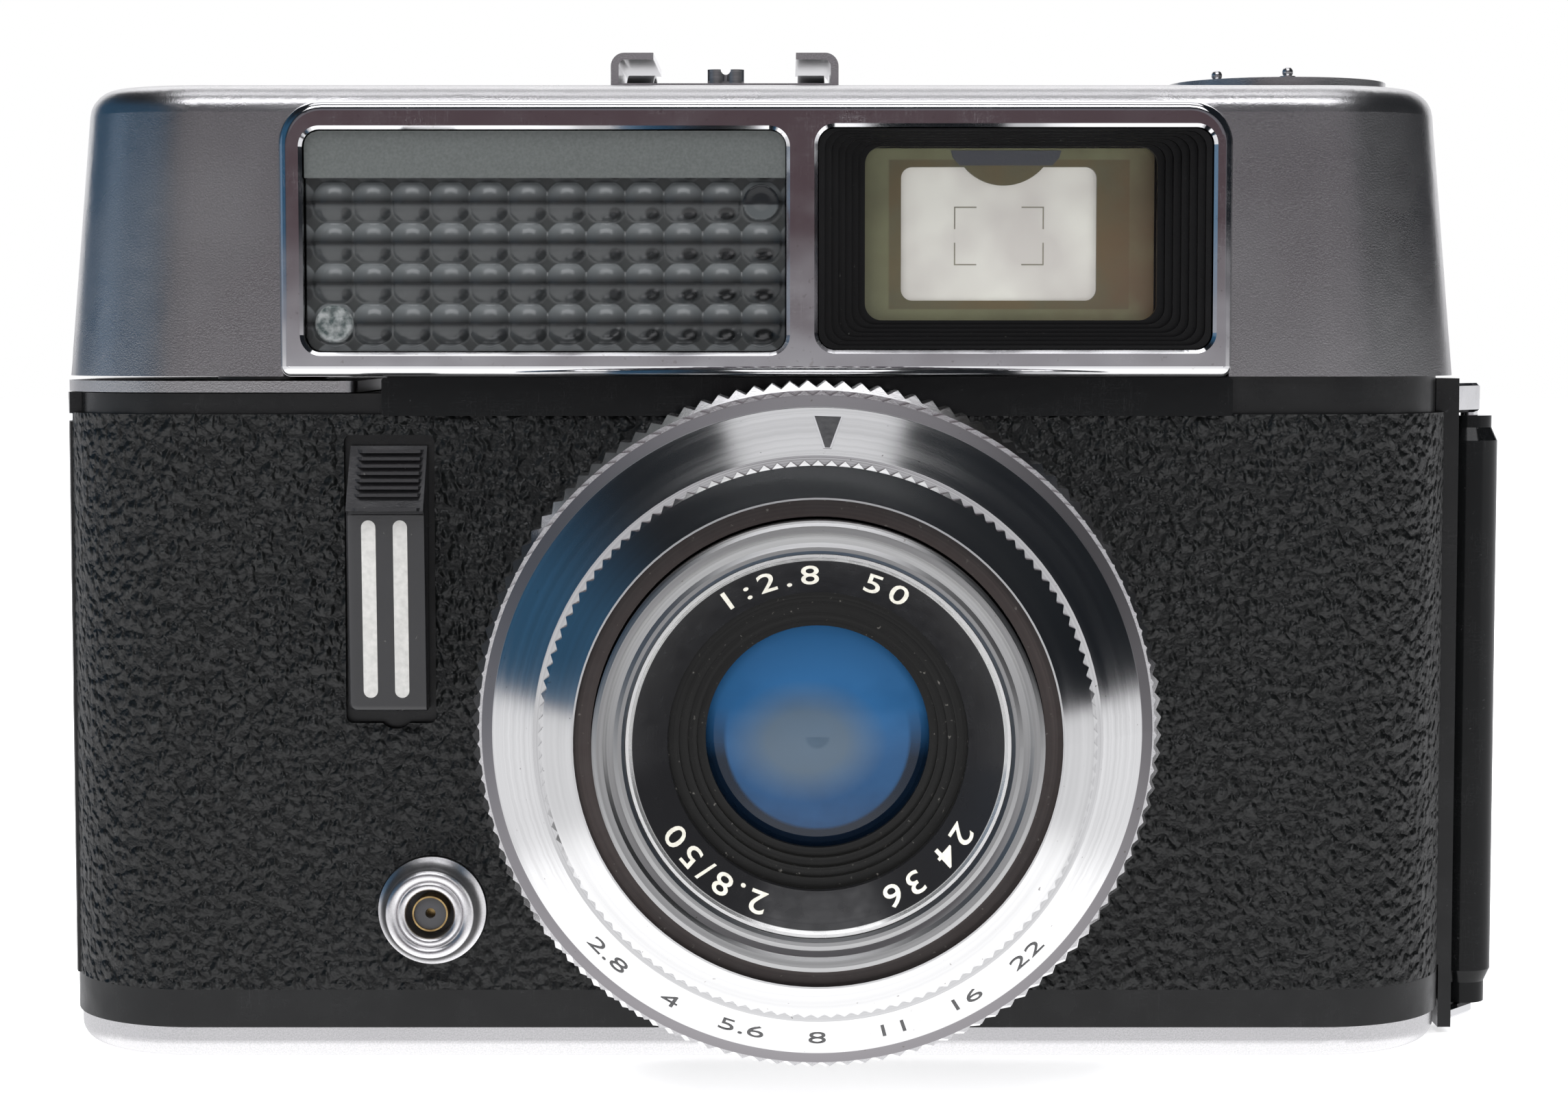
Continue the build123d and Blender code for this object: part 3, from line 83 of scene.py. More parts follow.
class Look:
    """A procedural material; its patterns read the object's own coordinates, in millimetres."""

    def __init__(self, name, colour, roughness, metallic=0.0, **constants):
        self.material = bpy.data.materials.new(name)
        self.material.use_nodes = True
        self.tree = self.material.node_tree
        self.shader = self.tree.nodes["Principled BSDF"]
        self.shader.inputs["Base Color"].default_value = (*colour, 1.0)
        self.shader.inputs["Roughness"].default_value = roughness
        self.shader.inputs["Metallic"].default_value = metallic
        for socket, value in constants.items():
            self.shader.inputs[socket.replace("_", " ").title().replace("Ior", "IOR")].default_value = value
        place = self.add("ShaderNodeTexCoord").outputs["Object"]
        self.mm = self.vector("SCALE", place, scale=1 / MM)

    def add(self, kind, inputs=None, **settings):
        """New node with its settings, and its inputs linked or set."""
        made = self.tree.nodes.new(kind)
        for name, value in settings.items():
            setattr(made, name, value)
        for key, value in (inputs or {}).items():
            if isinstance(value, bpy.types.NodeSocket):
                self.tree.links.new(value, made.inputs[key])
            else:
                made.inputs[key].default_value = value
        return made

    def vector(self, operation, a, b=(0, 0, 0), scale=1.0):
        inputs = {0: a, 1: b}
        if operation == "SCALE":
            inputs = {0: a, "Scale": scale}
        made = self.add("ShaderNodeVectorMath", inputs, operation=operation)
        return made.outputs["Value" if operation in ("LENGTH", "DOT_PRODUCT") else "Vector"]

    def math(self, operation, a, b=0.0):
        return self.add("ShaderNodeMath", {0: a, 1: b}, operation=operation).outputs[0]

    def noise(self, scale, detail=3.0, stretch=(1, 1, 1)):
        """Noise factor; scale is in waves per millimetre before the stretch."""
        place = self.vector("MULTIPLY", self.mm, stretch)
        inputs = {"Vector": place, "Scale": scale, "Detail": detail}
        return self.add("ShaderNodeTexNoise", inputs).outputs[0]

    def span(self, value, low, high, to_low=0.0, to_high=1.0):
        """Value mapped from one range to another, held at both ends."""
        inputs = {0: value, 1: low, 2: high, 3: to_low, 4: to_high}
        return self.add("ShaderNodeMapRange", inputs).outputs[0]

    def blend(self, factor, first, second):
        """Colour between two colours."""
        made = self.add("ShaderNodeMix", data_type="RGBA")
        for index, value in ((0, factor), (6, first), (7, second)):
            if isinstance(value, bpy.types.NodeSocket):
                self.tree.links.new(value, made.inputs[index])
            elif index:
                made.inputs[index].default_value = (*value, 1.0)
            else:
                made.inputs[index].default_value = value
        return made.outputs[2]

    def tint(self, value):
        """Slightly blue grey of a given value."""
        parts = {0: self.math("MULTIPLY", value, 0.93), 1: value, 2: self.math("MULTIPLY", value, 1.03)}
        return self.add("ShaderNodeCombineXYZ", parts).outputs[0]

    def link(self, value, socket):
        self.tree.links.new(value, self.shader.inputs[socket])

    def bump(self, height, distance):
        """Bump of a given depth in millimetres."""
        normal = self.add("ShaderNodeBump", {"Height": height, "Distance": distance * MM, "Strength": 1.0})
        self.link(normal.outputs[0], "Normal")

    def from_axis(self):
        """Distance from the lens axis, the direction away from it, and the depth along it."""
        offset = self.vector("SUBTRACT", self.mm, tuple(LENS / MM))
        across = self.vector("MULTIPLY", offset, (1, 0, 1))
        radius = self.vector("LENGTH", across)
        unit = self.vector("NORMALIZE", across)
        depth = self.vector("DOT_PRODUCT", offset, (0, 1, 0))
        return radius, unit, depth

    def rings(self, fineness):
        """Fine concentric tool marks round the lens axis, as a noise factor."""
        turn = 0.6
        radius, unit, depth = self.from_axis()
        path = self.math("SUBTRACT", radius, depth)
        along = self.add("ShaderNodeCombineXYZ", {0: self.math("MULTIPLY", path, fineness)}).outputs[0]
        place = self.vector("ADD", along, self.vector("SCALE", unit, scale=turn))
        return self.add("ShaderNodeTexNoise", {"Vector": place, "Scale": 1.0, "Detail": 2.0}).outputs[0]

    def scratches(self, amount):
        """Mask of thin random scratches, from 0 up to an amount."""
        masks = []
        for stretch in ((0.12, 1, 3.2), (2.6, 1, 0.1), (1.7, 1, 1.9)):
            lines = self.noise(1.1, 4.0, stretch)
            gap = self.math("ABSOLUTE", self.math("SUBTRACT", lines, 0.5))
            masks.append(self.span(gap, 0.0, 0.004, 1.0, 0.0))
        either = self.math("MAXIMUM", masks[0], self.math("MAXIMUM", masks[1], masks[2]))
        return self.math("MULTIPLY", either, self.span(self.noise(0.25, 2.0), 0.45, 0.7, 0.0, amount))


def leatherette():
    look = Look("leatherette", (0.008, 0.0085, 0.009), 0.4, Specular_IOR_Level=0.42)
    warp = look.add("ShaderNodeTexNoise", {"Vector": look.mm, "Scale": 0.7, "Detail": 2.0}).outputs[1]
    shift = look.vector("SCALE", look.vector("SUBTRACT", warp, (0.5, 0.5, 0.5)), scale=1.3)
    place = look.vector("MULTIPLY", look.vector("ADD", look.mm, shift), (1.15, 1.15, 1.0))
    cells = look.add("ShaderNodeTexVoronoi", {"Vector": place, "Scale": 1.0, "Smoothness": 0.7},
                     feature="SMOOTH_F1").outputs["Distance"]
    domes = look.span(cells, 0.05, 0.62, 1.0, 0.0)
    small = look.noise(1.5, 2.0)
    fine = look.noise(4.0, 3.0)
    height = look.math("ADD", domes, look.math("MULTIPLY", small, 0.4))
    height = look.math("ADD", height, look.math("MULTIPLY", fine, 0.09))
    look.bump(height, 0.5)
    look.link(look.span(small, 0.35, 0.65, 0.34, 0.46), "Roughness")
    tone = look.noise(0.09, 3.0)
    worn = look.math("MULTIPLY", look.span(height, 0.75, 1.3), look.span(tone, 0.4, 0.7, 0.3, 0.9))
    look.link(look.blend(worn, (0.003, 0.0035, 0.0035), (0.017, 0.019, 0.019)), "Base Color")
    return look.material


def black_enamel(name, roughness, grain, shine=0.5):
    look = Look(name, (0.004, 0.0042, 0.0045), roughness, Specular_IOR_Level=shine)
    marks = look.scratches(0.4)
    dust = look.span(look.noise(2.6, 2.0), 0.72, 0.78)
    look.link(look.blend(look.math("MAXIMUM", marks, look.math("MULTIPLY", dust, 0.35)),
                         (0.0035, 0.0038, 0.004), (0.05, 0.05, 0.052)), "Base Color")
    look.link(look.span(look.noise(0.3, 3.0), 0.35, 0.65, roughness * 0.75, roughness * 1.35), "Roughness")
    look.bump(look.noise(grain, 3.0), 0.006)
    return look.material


def satin_chrome(name, tone, roughness, grain=0.012):
    look = Look(name, (tone, tone, tone), roughness, 1.0)
    cloud = look.noise(0.06, 3.0)
    fine = look.noise(7.0, 3.0)
    pale = (tone * 1.08, tone * 1.06, tone * 1.08)
    shade = look.blend(look.span(fine, 0.3, 0.7), (tone * 0.9,) * 3, pale)
    marks = look.scratches(0.25)
    look.link(look.blend(marks, shade, (0.85, 0.85, 0.86)), "Base Color")
    look.link(look.span(cloud, 0.35, 0.65, roughness * 0.9, roughness * 1.12), "Roughness")
    look.bump(fine, grain)
    return look.material


def bright_chrome():
    look = Look("bright_chrome", (0.86, 0.86, 0.87), 0.07, 1.0)
    smear = look.noise(0.22, 3.0)
    marks = look.scratches(1.0)
    rough = look.math("ADD", look.span(smear, 0.35, 0.7, 0.04, 0.11), look.math("MULTIPLY", marks, 0.25))
    look.link(rough, "Roughness")
    grime = look.span(look.noise(1.7, 4.0), 0.66, 0.74)
    look.link(look.blend(look.math("MULTIPLY", grime, 0.3), (0.87, 0.87, 0.88), (0.42, 0.38, 0.34)),
              "Base Color")
    look.bump(look.noise(0.16, 1.0), 0.03)
    return look.material


def turned_chrome(name, roughness, fineness, depth, tone=0.8, anisotropy=0.6, satin_from=0.0):
    """Metal with fine tool marks round the lens axis, and a satin band outside a radius if one is given."""
    look = Look(name, (tone, tone, tone), roughness, 1.0, Anisotropic=anisotropy)
    tangent = look.add("ShaderNodeTangent", direction_type="RADIAL", axis="Y").outputs[0]
    look.link(tangent, "Tangent")
    rings = look.rings(fineness)
    specks = look.span(look.noise(2.1, 2.0), 0.74, 0.78, 0.0, 0.7)
    shade = look.blend(look.span(rings, 0.35, 0.65), (tone * 0.9,) * 3, (tone * 1.07,) * 3)
    rough = look.span(look.rings(fineness * 0.3), 0.35, 0.65, roughness * 0.85, roughness * 1.2)
    if satin_from:
        band = look.span(look.from_axis()[0], satin_from, satin_from + 0.05)
        shade = look.blend(band, shade, (tone * 0.36, tone * 0.345, tone * 0.36))
        rough = look.math("ADD", rough, look.math("MULTIPLY", band, 0.35))
    look.link(look.blend(specks, shade, (0.16, 0.14, 0.13)), "Base Color")
    look.link(rough, "Roughness")
    look.bump(rings, depth)
    return look.material


def steel():
    look = Look("steel", (0.42, 0.42, 0.42), 0.34, 1.0)
    grain = look.noise(1.2, 3.0, (0.15, 1, 4))
    look.link(look.blend(look.span(grain, 0.3, 0.7), (0.36, 0.36, 0.37), (0.5, 0.5, 0.5)), "Base Color")
    look.bump(grain, 0.01)
    return look.material


def brass():
    look = Look("brass", (0.62, 0.43, 0.18), 0.28, 1.0)
    cloud = look.noise(0.9, 4.0)
    tone = look.blend(look.span(cloud, 0.35, 0.7), (0.68, 0.48, 0.21), (0.36, 0.24, 0.11))
    look.link(tone, "Base Color")
    look.link(look.span(cloud, 0.3, 0.7, 0.2, 0.42), "Roughness")
    return look.material


def black_moulding(name="black_moulding", roughness=0.38, tone=0.012, shine=0.5):
    look = Look(name, (tone, tone, tone), roughness, Specular_IOR_Level=shine)
    fine = look.noise(5.0, 4.0)
    look.bump(fine, 0.012)
    dust = look.span(look.noise(1.9, 2.0), 0.74, 0.79, 0.0, 0.5)
    look.link(look.blend(dust, (tone, tone, tone * 1.08), (0.13, 0.13, 0.12)), "Base Color")
    look.link(look.span(look.noise(0.5, 3.0), 0.3, 0.7, roughness * 0.8, roughness * 1.25), "Roughness")
    return look.material


def blackened_metal(name, tone, roughness, brown=1.0, shine=0.5):
    look = Look(name, (tone, tone, tone), roughness, 0.0, Specular_IOR_Level=shine)
    rings = look.rings(5.0)
    look.bump(rings, 0.012)
    specks = look.span(look.noise(2.4, 3.0), 0.68, 0.76, 0.0, 0.55)
    low, high = (tone * brown, tone, tone * 0.95), (tone * 1.5 * brown, tone * 1.5, tone * 1.4)
    base = look.blend(look.span(rings, 0.35, 0.65), low, high)
    look.link(look.blend(specks, base, (0.2, 0.19, 0.17)), "Base Color")
    look.link(look.span(look.noise(0.7, 3.0), 0.3, 0.7, roughness * 0.85, roughness * 1.2), "Roughness")
    return look.material


def name_ring_black():
    """Gloss black ring whose flat outer rim is bare white metal."""
    look = Look("name_ring", (0.01, 0.01, 0.011), 0.22, Specular_IOR_Level=0.5)
    rim_from, rim_full = 14.62, 14.7
    rim = look.span(look.from_axis()[0], rim_from, rim_full)
    look.link(look.blend(rim, (0.011, 0.011, 0.012), (0.86, 0.86, 0.85)), "Base Color")
    look.link(look.math("MULTIPLY", rim, 0.9), "Metallic")
    look.bump(look.rings(4.0), 0.006)
    look.link(look.span(look.noise(0.8, 3.0), 0.3, 0.7, 0.17, 0.3), "Roughness")
    return look.material


def meter_plastic():
    """Smoky plastic with painted light: each small lens is painted pale in its upper half and darker below,
    with a painted dark spot low down.
    """
    look = Look("meter_lenses", (0.03, 0.033, 0.034), 0.2, Specular_IOR_Level=0.45)
    x = look.vector("DOT_PRODUCT", look.mm, (1, 0, 0))
    z = look.vector("DOT_PRODUCT", look.mm, (0, 0, 1))

    def phase(value, first, pitch):
        """Place within one lens, from -0.5 to 0.5."""
        turns = look.math("DIVIDE", look.math("SUBTRACT", value, first - pitch / 2), pitch)
        return look.math("SUBTRACT", look.math("FRACT", turns), 0.5)

    def disc(centre_x, centre_z, radius):
        away = look.vector("SUBTRACT", look.mm, (centre_x, 0, centre_z))
        reach = look.vector("LENGTH", look.vector("MULTIPLY", away, (1, 0, 1)))
        return look.span(reach, radius, radius + 0.12, 1.0, 0.0)

    u = phase(x, METER_FIRST_X, METER_PITCH_X)
    v = phase(z, METER_FIRST_Z, METER_PITCH_Z)
    # painted light: the upper half of each lens is lighter, the lower half darker
    upper = look.span(v, 0.03, 0.4, 0.012, 0.085)
    tone = look.math("MAXIMUM", upper, look.span(v, -0.03, -0.11, 0.012, 0.036))
    # painted dark spot low in each lens, further in towards the right
    half_way = (METER_FIRST_X + METER_LAST_X) / 2
    spot_u = look.span(x, half_way, METER_LAST_X, 0.33, 0.08)
    spot_wide = look.span(x, half_way, METER_LAST_X, 0.13, 0.27)
    spot_v, spot_tall = -0.27, 0.16
    over_u = look.math("DIVIDE", look.math("SUBTRACT", u, spot_u), spot_wide)
    over_v = look.math("DIVIDE", look.math("SUBTRACT", v, spot_v), spot_tall)
    reach = look.math("ADD", look.math("MULTIPLY", over_u, over_u), look.math("MULTIPLY", over_v, over_v))
    spot_tone = look.span(x, half_way, METER_LAST_X, 0.55, 0.15)
    tone = look.math("MULTIPLY", tone, look.span(reach, 0.6, 1.3, spot_tone, 1.0))
    # plain between the lenses
    corner = look.math("ADD", look.math("MULTIPLY", u, u), look.math("MULTIPLY", v, v))
    value = look.blend(look.span(corner, 0.29, 0.33), look.tint(tone), (0.024, 0.026, 0.026))
    # a milky flat lens at the lower left; a smoky one at the upper right, painted dark above and paler
    # below as a reflection
    cloud = look.span(look.noise(1.3, 4.0), 0.35, 0.65)
    milky = look.blend(cloud, (0.035, 0.045, 0.045), (0.19, 0.2, 0.2))
    value = look.blend(disc(METER_FIRST_X, METER_LAST_Z, 1.6), value, milky)
    smoky = look.blend(look.span(v, -0.03, -0.08), (0.008, 0.009, 0.01), (0.05, 0.055, 0.057))
    look.link(look.blend(disc(METER_LAST_X, METER_FIRST_Z, 1.5), value, smoky), "Base Color")
    look.link(look.span(look.noise(0.35, 3.0), 0.3, 0.7, 0.16, 0.24), "Roughness")
    look.bump(look.noise(0.9, 2.0), 0.01)
    return look.material


def meter_strip():
    look = Look("meter_strip", (0.07, 0.078, 0.075), 0.5, Specular_IOR_Level=0.5)
    fine = look.noise(4.5, 4.0)
    tone = look.blend(look.span(fine, 0.3, 0.7), (0.052, 0.058, 0.056), (0.07, 0.077, 0.075))
    look.link(tone, "Base Color")
    look.bump(fine, 0.01)
    return look.material


def selenium():
    look = Look("selenium", (0.1, 0.09, 0.1), 0.4, 0.7)
    stripes = look.noise(0.8, 3.0, (0.2, 1, 3))
    tone = look.blend(look.span(stripes, 0.3, 0.7), (0.07, 0.06, 0.07), (0.14, 0.12, 0.14))
    look.link(tone, "Base Color")
    return look.material


def thin_glass(name, tint, alpha, roughness=0.03):
    """Clear plate that mirrors a little of what is in front of it."""
    look = Look(name, tint, roughness, 1.0, Alpha=alpha)
    smear = look.noise(0.3, 3.0)
    look.link(look.span(smear, 0.35, 0.7, roughness, roughness * 3), "Roughness")
    return look.material


def front_glass():
    """Coated front element: blue, with painted reflections: paler higher up and in a soft patch, dark where
    its mount is mirrored in the lower edge.
    """
    look = Look("front_coating", (0.04, 0.13, 0.32), 0.04, 0.15, Alpha=0.95, Specular_IOR_Level=0.5)
    offset = look.vector("SUBTRACT", look.mm, tuple(LENS / MM))
    up = look.vector("DOT_PRODUCT", offset, (0, 0, 1))
    # painted reflection: the blue is darker low on the glass and paler higher up
    level = look.math("ADD", up, look.span(look.noise(0.35, 3.0), 0.3, 0.7, -1.5, 1.5))
    blue = look.blend(look.span(level, -7.0, 4.0), (0.006, 0.042, 0.115), (0.025, 0.105, 0.245))
    # painted pale reflection across the middle
    stretched = look.vector("MULTIPLY", look.vector("ADD", offset, (0.9, 0, 0.4)), (0.82, 0, 1.08))
    slanted = look.vector("LENGTH", stretched)
    pale = look.blend(look.span(slanted, 2.6, 5.4, 0.8, 0.0), blue, (0.085, 0.11, 0.13))
    # painted reflection of the mount in the lower edge of the glass
    flat = look.vector("MULTIPLY", look.vector("ADD", offset, (0, 0, 0.1)), (1, 0, 1))
    outside = look.span(look.vector("LENGTH", flat), 7.3, 7.6)
    mount = look.math("MULTIPLY", outside, look.span(up, 2.2, -1.8, 0.0, 0.94))
    look.link(look.blend(mount, pale, (0.003, 0.006, 0.012)), "Base Color")
    look.link(look.span(look.noise(0.5, 2.0), 0.4, 0.8, 0.04, 0.06), "Roughness")
    return look.material


def coated_glass(name, tint, alpha, metallic):
    look = Look(name, tint, 0.04, metallic, Alpha=alpha, Specular_IOR_Level=0.5)
    haze = look.noise(0.35, 3.0)
    deeper = tuple(part * 0.8 for part in tint)
    look.link(look.blend(look.span(haze, 0.35, 0.65), deeper, tint), "Base Color")
    look.link(look.span(look.noise(0.8, 2.0), 0.4, 0.8, 0.03, 0.07), "Roughness")
    return look.material


def mirror_mask():
    """Old mirror coating round the finder's window, olive with brown stains."""
    look = Look("mirror_mask", (0.27, 0.26, 0.13), 0.45, 0.15)
    stain = look.noise(0.16, 4.0)
    offset = look.vector("SUBTRACT", look.mm, tuple(middle("finder_mask") / MM))
    right = look.span(look.vector("DOT_PRODUCT", offset, (1, 0, -0.45)), 5.0, 12.5)
    amount = look.math("MULTIPLY", right, look.span(stain, 0.35, 0.6, 0.25, 0.8))
    aged = look.blend(look.span(stain, 0.3, 0.7), (0.155, 0.16, 0.085), (0.115, 0.112, 0.058))
    across = look.math("ABSOLUTE", look.vector("DOT_PRODUCT", offset, (1, 0, 0)))
    up = look.math("ABSOLUTE", look.vector("DOT_PRODUCT", offset, (0, 0, 1)))
    # painted shade as a darker brownish frame round the window
    between_sides = look.span(across, 10.6, 10.75, 1.0, 0.0)
    inner = look.math("MULTIPLY", between_sides, look.span(up, 6.55, 6.65, 1.0, 0.0))
    window_shade = look.blend(look.span(stain, 0.35, 0.6), (0.08, 0.075, 0.042), (0.11, 0.075, 0.03))
    plain = look.blend(look.math("MULTIPLY", inner, 0.8), aged, window_shade)
    look.link(look.blend(amount, plain, (0.1, 0.058, 0.03)), "Base Color")
    look.bump(look.noise(1.5, 3.0), 0.02)
    return look.material


def milky_view():
    """The pale picture seen through the finder, painted as a glow though no lamp lights it."""
    look = Look("finder_view", (0.4, 0.385, 0.36), 0.5, Emission_Strength=0.45)
    cloud = look.noise(0.16, 2.0)
    tone = look.blend(look.span(cloud, 0.35, 0.65), (0.35, 0.335, 0.315), (0.44, 0.435, 0.4))
    look.link(tone, "Base Color")
    look.link(tone, "Emission Color")
    return look.material


def paint(name, colour, roughness=0.45):
    """Flat paint that has worn unevenly."""
    look = Look(name, colour, roughness, Specular_IOR_Level=0.4)
    wear = look.span(look.noise(2.2, 4.0), 0.3, 0.75)
    worn = tuple(part * 0.72 + 0.02 for part in colour)
    look.link(look.blend(wear, colour, worn), "Base Color")
    look.bump(look.noise(4.0, 3.0), 0.01)
    return look.material


SATIN = satin_chrome("satin_chrome", 0.55, 0.28)
PALE_SATIN = satin_chrome("pale_satin", 0.72, 0.26, 0.008)
SHOE = satin_chrome("shoe_chrome", 0.8, 0.24, 0.006)
BRIGHT = bright_chrome()
CONE = turned_chrome("turned_cone", 0.16, 7.0, 0.005, 0.82, 0.55, 26.42)
RING = turned_chrome("turned_ring", 0.13, 5.0, 0.003, 0.74, 0.4)
RIM = turned_chrome("satin_rim", 0.34, 4.0, 0.006, 0.45, 0.2)
KNURL = satin_chrome("knurled_chrome", 0.78, 0.16, 0.004)
STEEL = steel()
BRASS = brass()
MOULDING = black_moulding()
RELEASE = black_moulding("release_moulding", 0.2, 0.015, 0.65)
INNER_BLACK = black_moulding("finder_black", 0.36, 0.003, 0.28)
LEATHER = leatherette()
ENAMEL = black_enamel("black_enamel", 0.3, 2.2)
GLOSS = black_enamel("gloss_enamel", 0.12, 0.8, 0.25)
BLACKENED = blackened_metal("blackened_metal", 0.006, 0.3, 1.0, 0.3)
LINER = blackened_metal("liner_black", 0.02, 0.6, 1.35)
NAME_RING = name_ring_black()
LENSES = meter_plastic()
STRIP = meter_strip()
SELENIUM = selenium()
SOCKET = satin_chrome("socket_chrome", 0.85, 0.3, 0.004)
INSULATOR = black_moulding("grey_insulator", 0.4, 0.045)
CLEAR = thin_glass("clear_glass", (0.95, 0.97, 1.0), 0.03)
FRONT_COAT = front_glass()
INNER_COAT = coated_glass("inner_coating", (0.3, 0.36, 0.42), 0.3, 0.6)
MASK = mirror_mask()
WHITE = paint("white_dial", (0.8, 0.8, 0.77))
PALE = paint("pale_paint", (0.43, 0.425, 0.41), 0.5)
CREAM = paint("cream_fill", (0.66, 0.64, 0.56), 0.5)
DARK = paint("black_fill", (0.012, 0.012, 0.014), 0.4)
GLOWING_VIEW = milky_view()
FRAME_LINE = paint("frame_line", (0.22, 0.21, 0.16), 0.6)
READOUT = paint("readout", (0.05, 0.055, 0.065), 0.3)

LOOKS = {
    LEATHER: ["front_leather", "door_leather"],
    ENAMEL: ["body_casting", "back_door"],
    GLOSS: ["waist_panel", "door_knuckle"],
    SATIN: ["top_cover", "advance_lever", "rewind_knob"],
    PALE_SATIN: ["base_plate", "reminder_dial"],
    SHOE: ["accessory_shoe"],
    BRIGHT: ["window_frame", "base_screws", "cover_screws", "tripod_bush",
             "hinge_pin", "door_latch"],
    SOCKET: ["flash_socket_ring"],
    INSULATOR: ["flash_socket_insulator"],
    CONE: ["face_cone"],
    RING: ["focus_ring", "shutter_housing"],
    RIM: ["front_rim"],
    KNURL: ["setting_ring"],
    STEEL: ["film_gate", "lever_hub", "rewind_shaft", "shoe_spring", "pressure_spring", "release_spring",
            "shutter_blade_1", "shutter_blade_2", "aperture_blade_1", "aperture_blade_2"],
    BRASS: ["flash_socket_contact", "rewind_sleeve", "meter_needle"],
    MOULDING: ["eyepiece_bezel", "take_up_spool", "sprocket"],
    RELEASE: ["release_slider"],
    INNER_BLACK: ["finder_funnel", "finder_tunnel"],
    BLACKENED: ["meter_movement", "pressure_plate", "shutter_plate", "front_baffle"],
    LINER: ["focus_liner"],
    NAME_RING: ["name_ring"],
    LENSES: ["meter_window"],
    SELENIUM: ["selenium_cell"],
    CLEAR: ["finder_front_lens", "finder_rear_lens", "counter_window"],
    FRONT_COAT: ["front_element"],
    INNER_COAT: ["middle_element", "rear_element"],
    MASK: ["finder_mask"],
    WHITE: ["counter_dial"],
}
for look, names in LOOKS.items():
    for name in names:
        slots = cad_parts[name].data.materials
        slots.clear()
        slots.append(look)

# ---------------------------------------------------------------- pieces


def piece(name, vertices, faces, look, body, smooth=False):
    """Mesh made in place, riding on a body."""
    mesh = bpy.data.meshes.new(name)
    mesh.from_pydata([tuple(v) for v in vertices], [], faces)
    mesh.materials.append(look)
    shape = bmesh.new()
    shape.from_mesh(mesh)
    bmesh.ops.recalc_face_normals(shape, faces=shape.faces)
    shape.to_mesh(mesh)
    shape.free()
    for polygon in mesh.polygons:
        polygon.use_smooth = smooth
    made = bpy.data.objects.new(name, mesh)
    bpy.context.scene.collection.objects.link(made)
    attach(made, body)
    return made


def prism(name, outline, surface, height, look, body):
    """Raised mark: an outline laid on a surface, with a top a little above it."""
    count = len(outline)
    low = [surface(u, v, -height) for u, v in outline]
    high = [surface(u, v, height) for u, v in outline]
    faces = [tuple(range(count)), tuple(range(2 * count - 1, count - 1, -1))]
    for index in range(count):
        after = (index + 1) % count
        faces.append((index, after, count + after, count + index))
    return piece(name, low + high, faces, look, body)


def lettering(name, text, size, surface, height, look, body, spacing=1.0, weight=0.0):
    """Numbers laid on a surface, which maps across, up and out in millimetres to a place."""
    curve = bpy.data.curves.new(name, "FONT")
    curve.body = text
    curve.size = size
    curve.align_x = "CENTER"
    curve.align_y = "CENTER"
    curve.space_character = spacing
    curve.extrude = height
    curve.offset = weight
    curve.resolution_u = 4
    holder = bpy.data.objects.new(name, curve)
    bpy.context.scene.collection.objects.link(holder)
    bpy.context.view_layer.update()
    mesh = bpy.data.meshes.new_from_object(holder.evaluated_get(bpy.context.evaluated_depsgraph_get()))
    bpy.data.objects.remove(holder)
    bpy.data.curves.remove(curve)
    vertices = [surface(v.co.x, v.co.y, v.co.z) for v in mesh.vertices]
    faces = [tuple(p.vertices) for p in mesh.polygons]
    bpy.data.meshes.remove(mesh)
    return piece(name, vertices, faces, look, body)


def cone_surface(outer, inner, angle, radius, outward):
    """Map for marks on a turned cone.

    outer and inner are (radius, y) of the cone's edges in millimetres; the mark is centred at an angle and
    a radius; outward says if its top points away from the axis.
    """
    (r_out, y_out), (r_in, y_in) = outer, inner
    slope = (y_out - y_in) / (r_out - r_in)
    length = math.hypot(1, slope)

    def place(across, up, out):
        side = -1 if outward else 1
        r = radius + (up if outward else -up) / length
        theta = math.radians(angle) + side * across / radius
        y = y_in + (r - r_in) * slope
        r += out * slope / length
        y -= out / length
        return Vector((LENS.x / MM + r * math.cos(theta), y, LENS.z / MM + r * math.sin(theta))) * MM

    return place


def front_of(node):
    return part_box(node)[0].y / MM


CONE_FRONT = front_of("face_cone")
CONE_OUTER = (26.4, CONE_FRONT + 5.15)
CONE_INNER = (22.75, CONE_FRONT)
RING_FRONT = front_of("name_ring")
NAME_OUTER = (14.9, RING_FRONT)
NAME_INNER = (11.95, RING_FRONT + 3.0)

# index mark at the top of the cone, a little to the right, on a bright edge of its own
index_place = cone_surface(CONE_OUTER, CONE_INNER, 90, 24.6, True)
INDEX_X = 0.8
for name, grow, height, look in (("index_edge", 0.14, 0.02, BRIGHT), ("index_mark", 0.0, 0.035, DARK)):
    half_top, half_tip, top, tip = 1.02 + grow, 0.2 + grow, 1.95 + grow, -2.2 - grow
    outline = [(INDEX_X - half_top, top), (INDEX_X + half_top, top), (INDEX_X + half_tip, tip),
               (INDEX_X - half_tip, tip)]
    prism(name, outline, index_place, height, look, "camera")

# stops engraved along the bottom of the cone
STOPS = ["2.8", "4", "5.6", "8", "11", "16", "22"]
STOP_STEP = 14.5
for position, stop in enumerate(STOPS):
    angle = 270 + (position - len(STOPS) // 2) * STOP_STEP
    place = cone_surface(CONE_OUTER, CONE_INNER, angle, 24.7, False)
    name = "stop_" + stop.replace(".", "_")
    lettering(name, stop, 3.3, place, 0.02, DARK, "camera", 1.0, -0.015)

# figures on the ring round the glass, each with its angle and its spacing
RING_FIGURES = (("focal_figures", "2.8/50", 231, 1.25), ("format_figures", "24 36", 312, 1.25),
                ("ratio_figures", "1:2.8  50", 92, 1.35))
for name, text, angle, spacing in RING_FIGURES:
    place = cone_surface(NAME_OUTER, NAME_INNER, angle, 13.35, True)
    lettering(name, text, 3.2, place, 0.03, CREAM, "front_cell", spacing, 0.02)


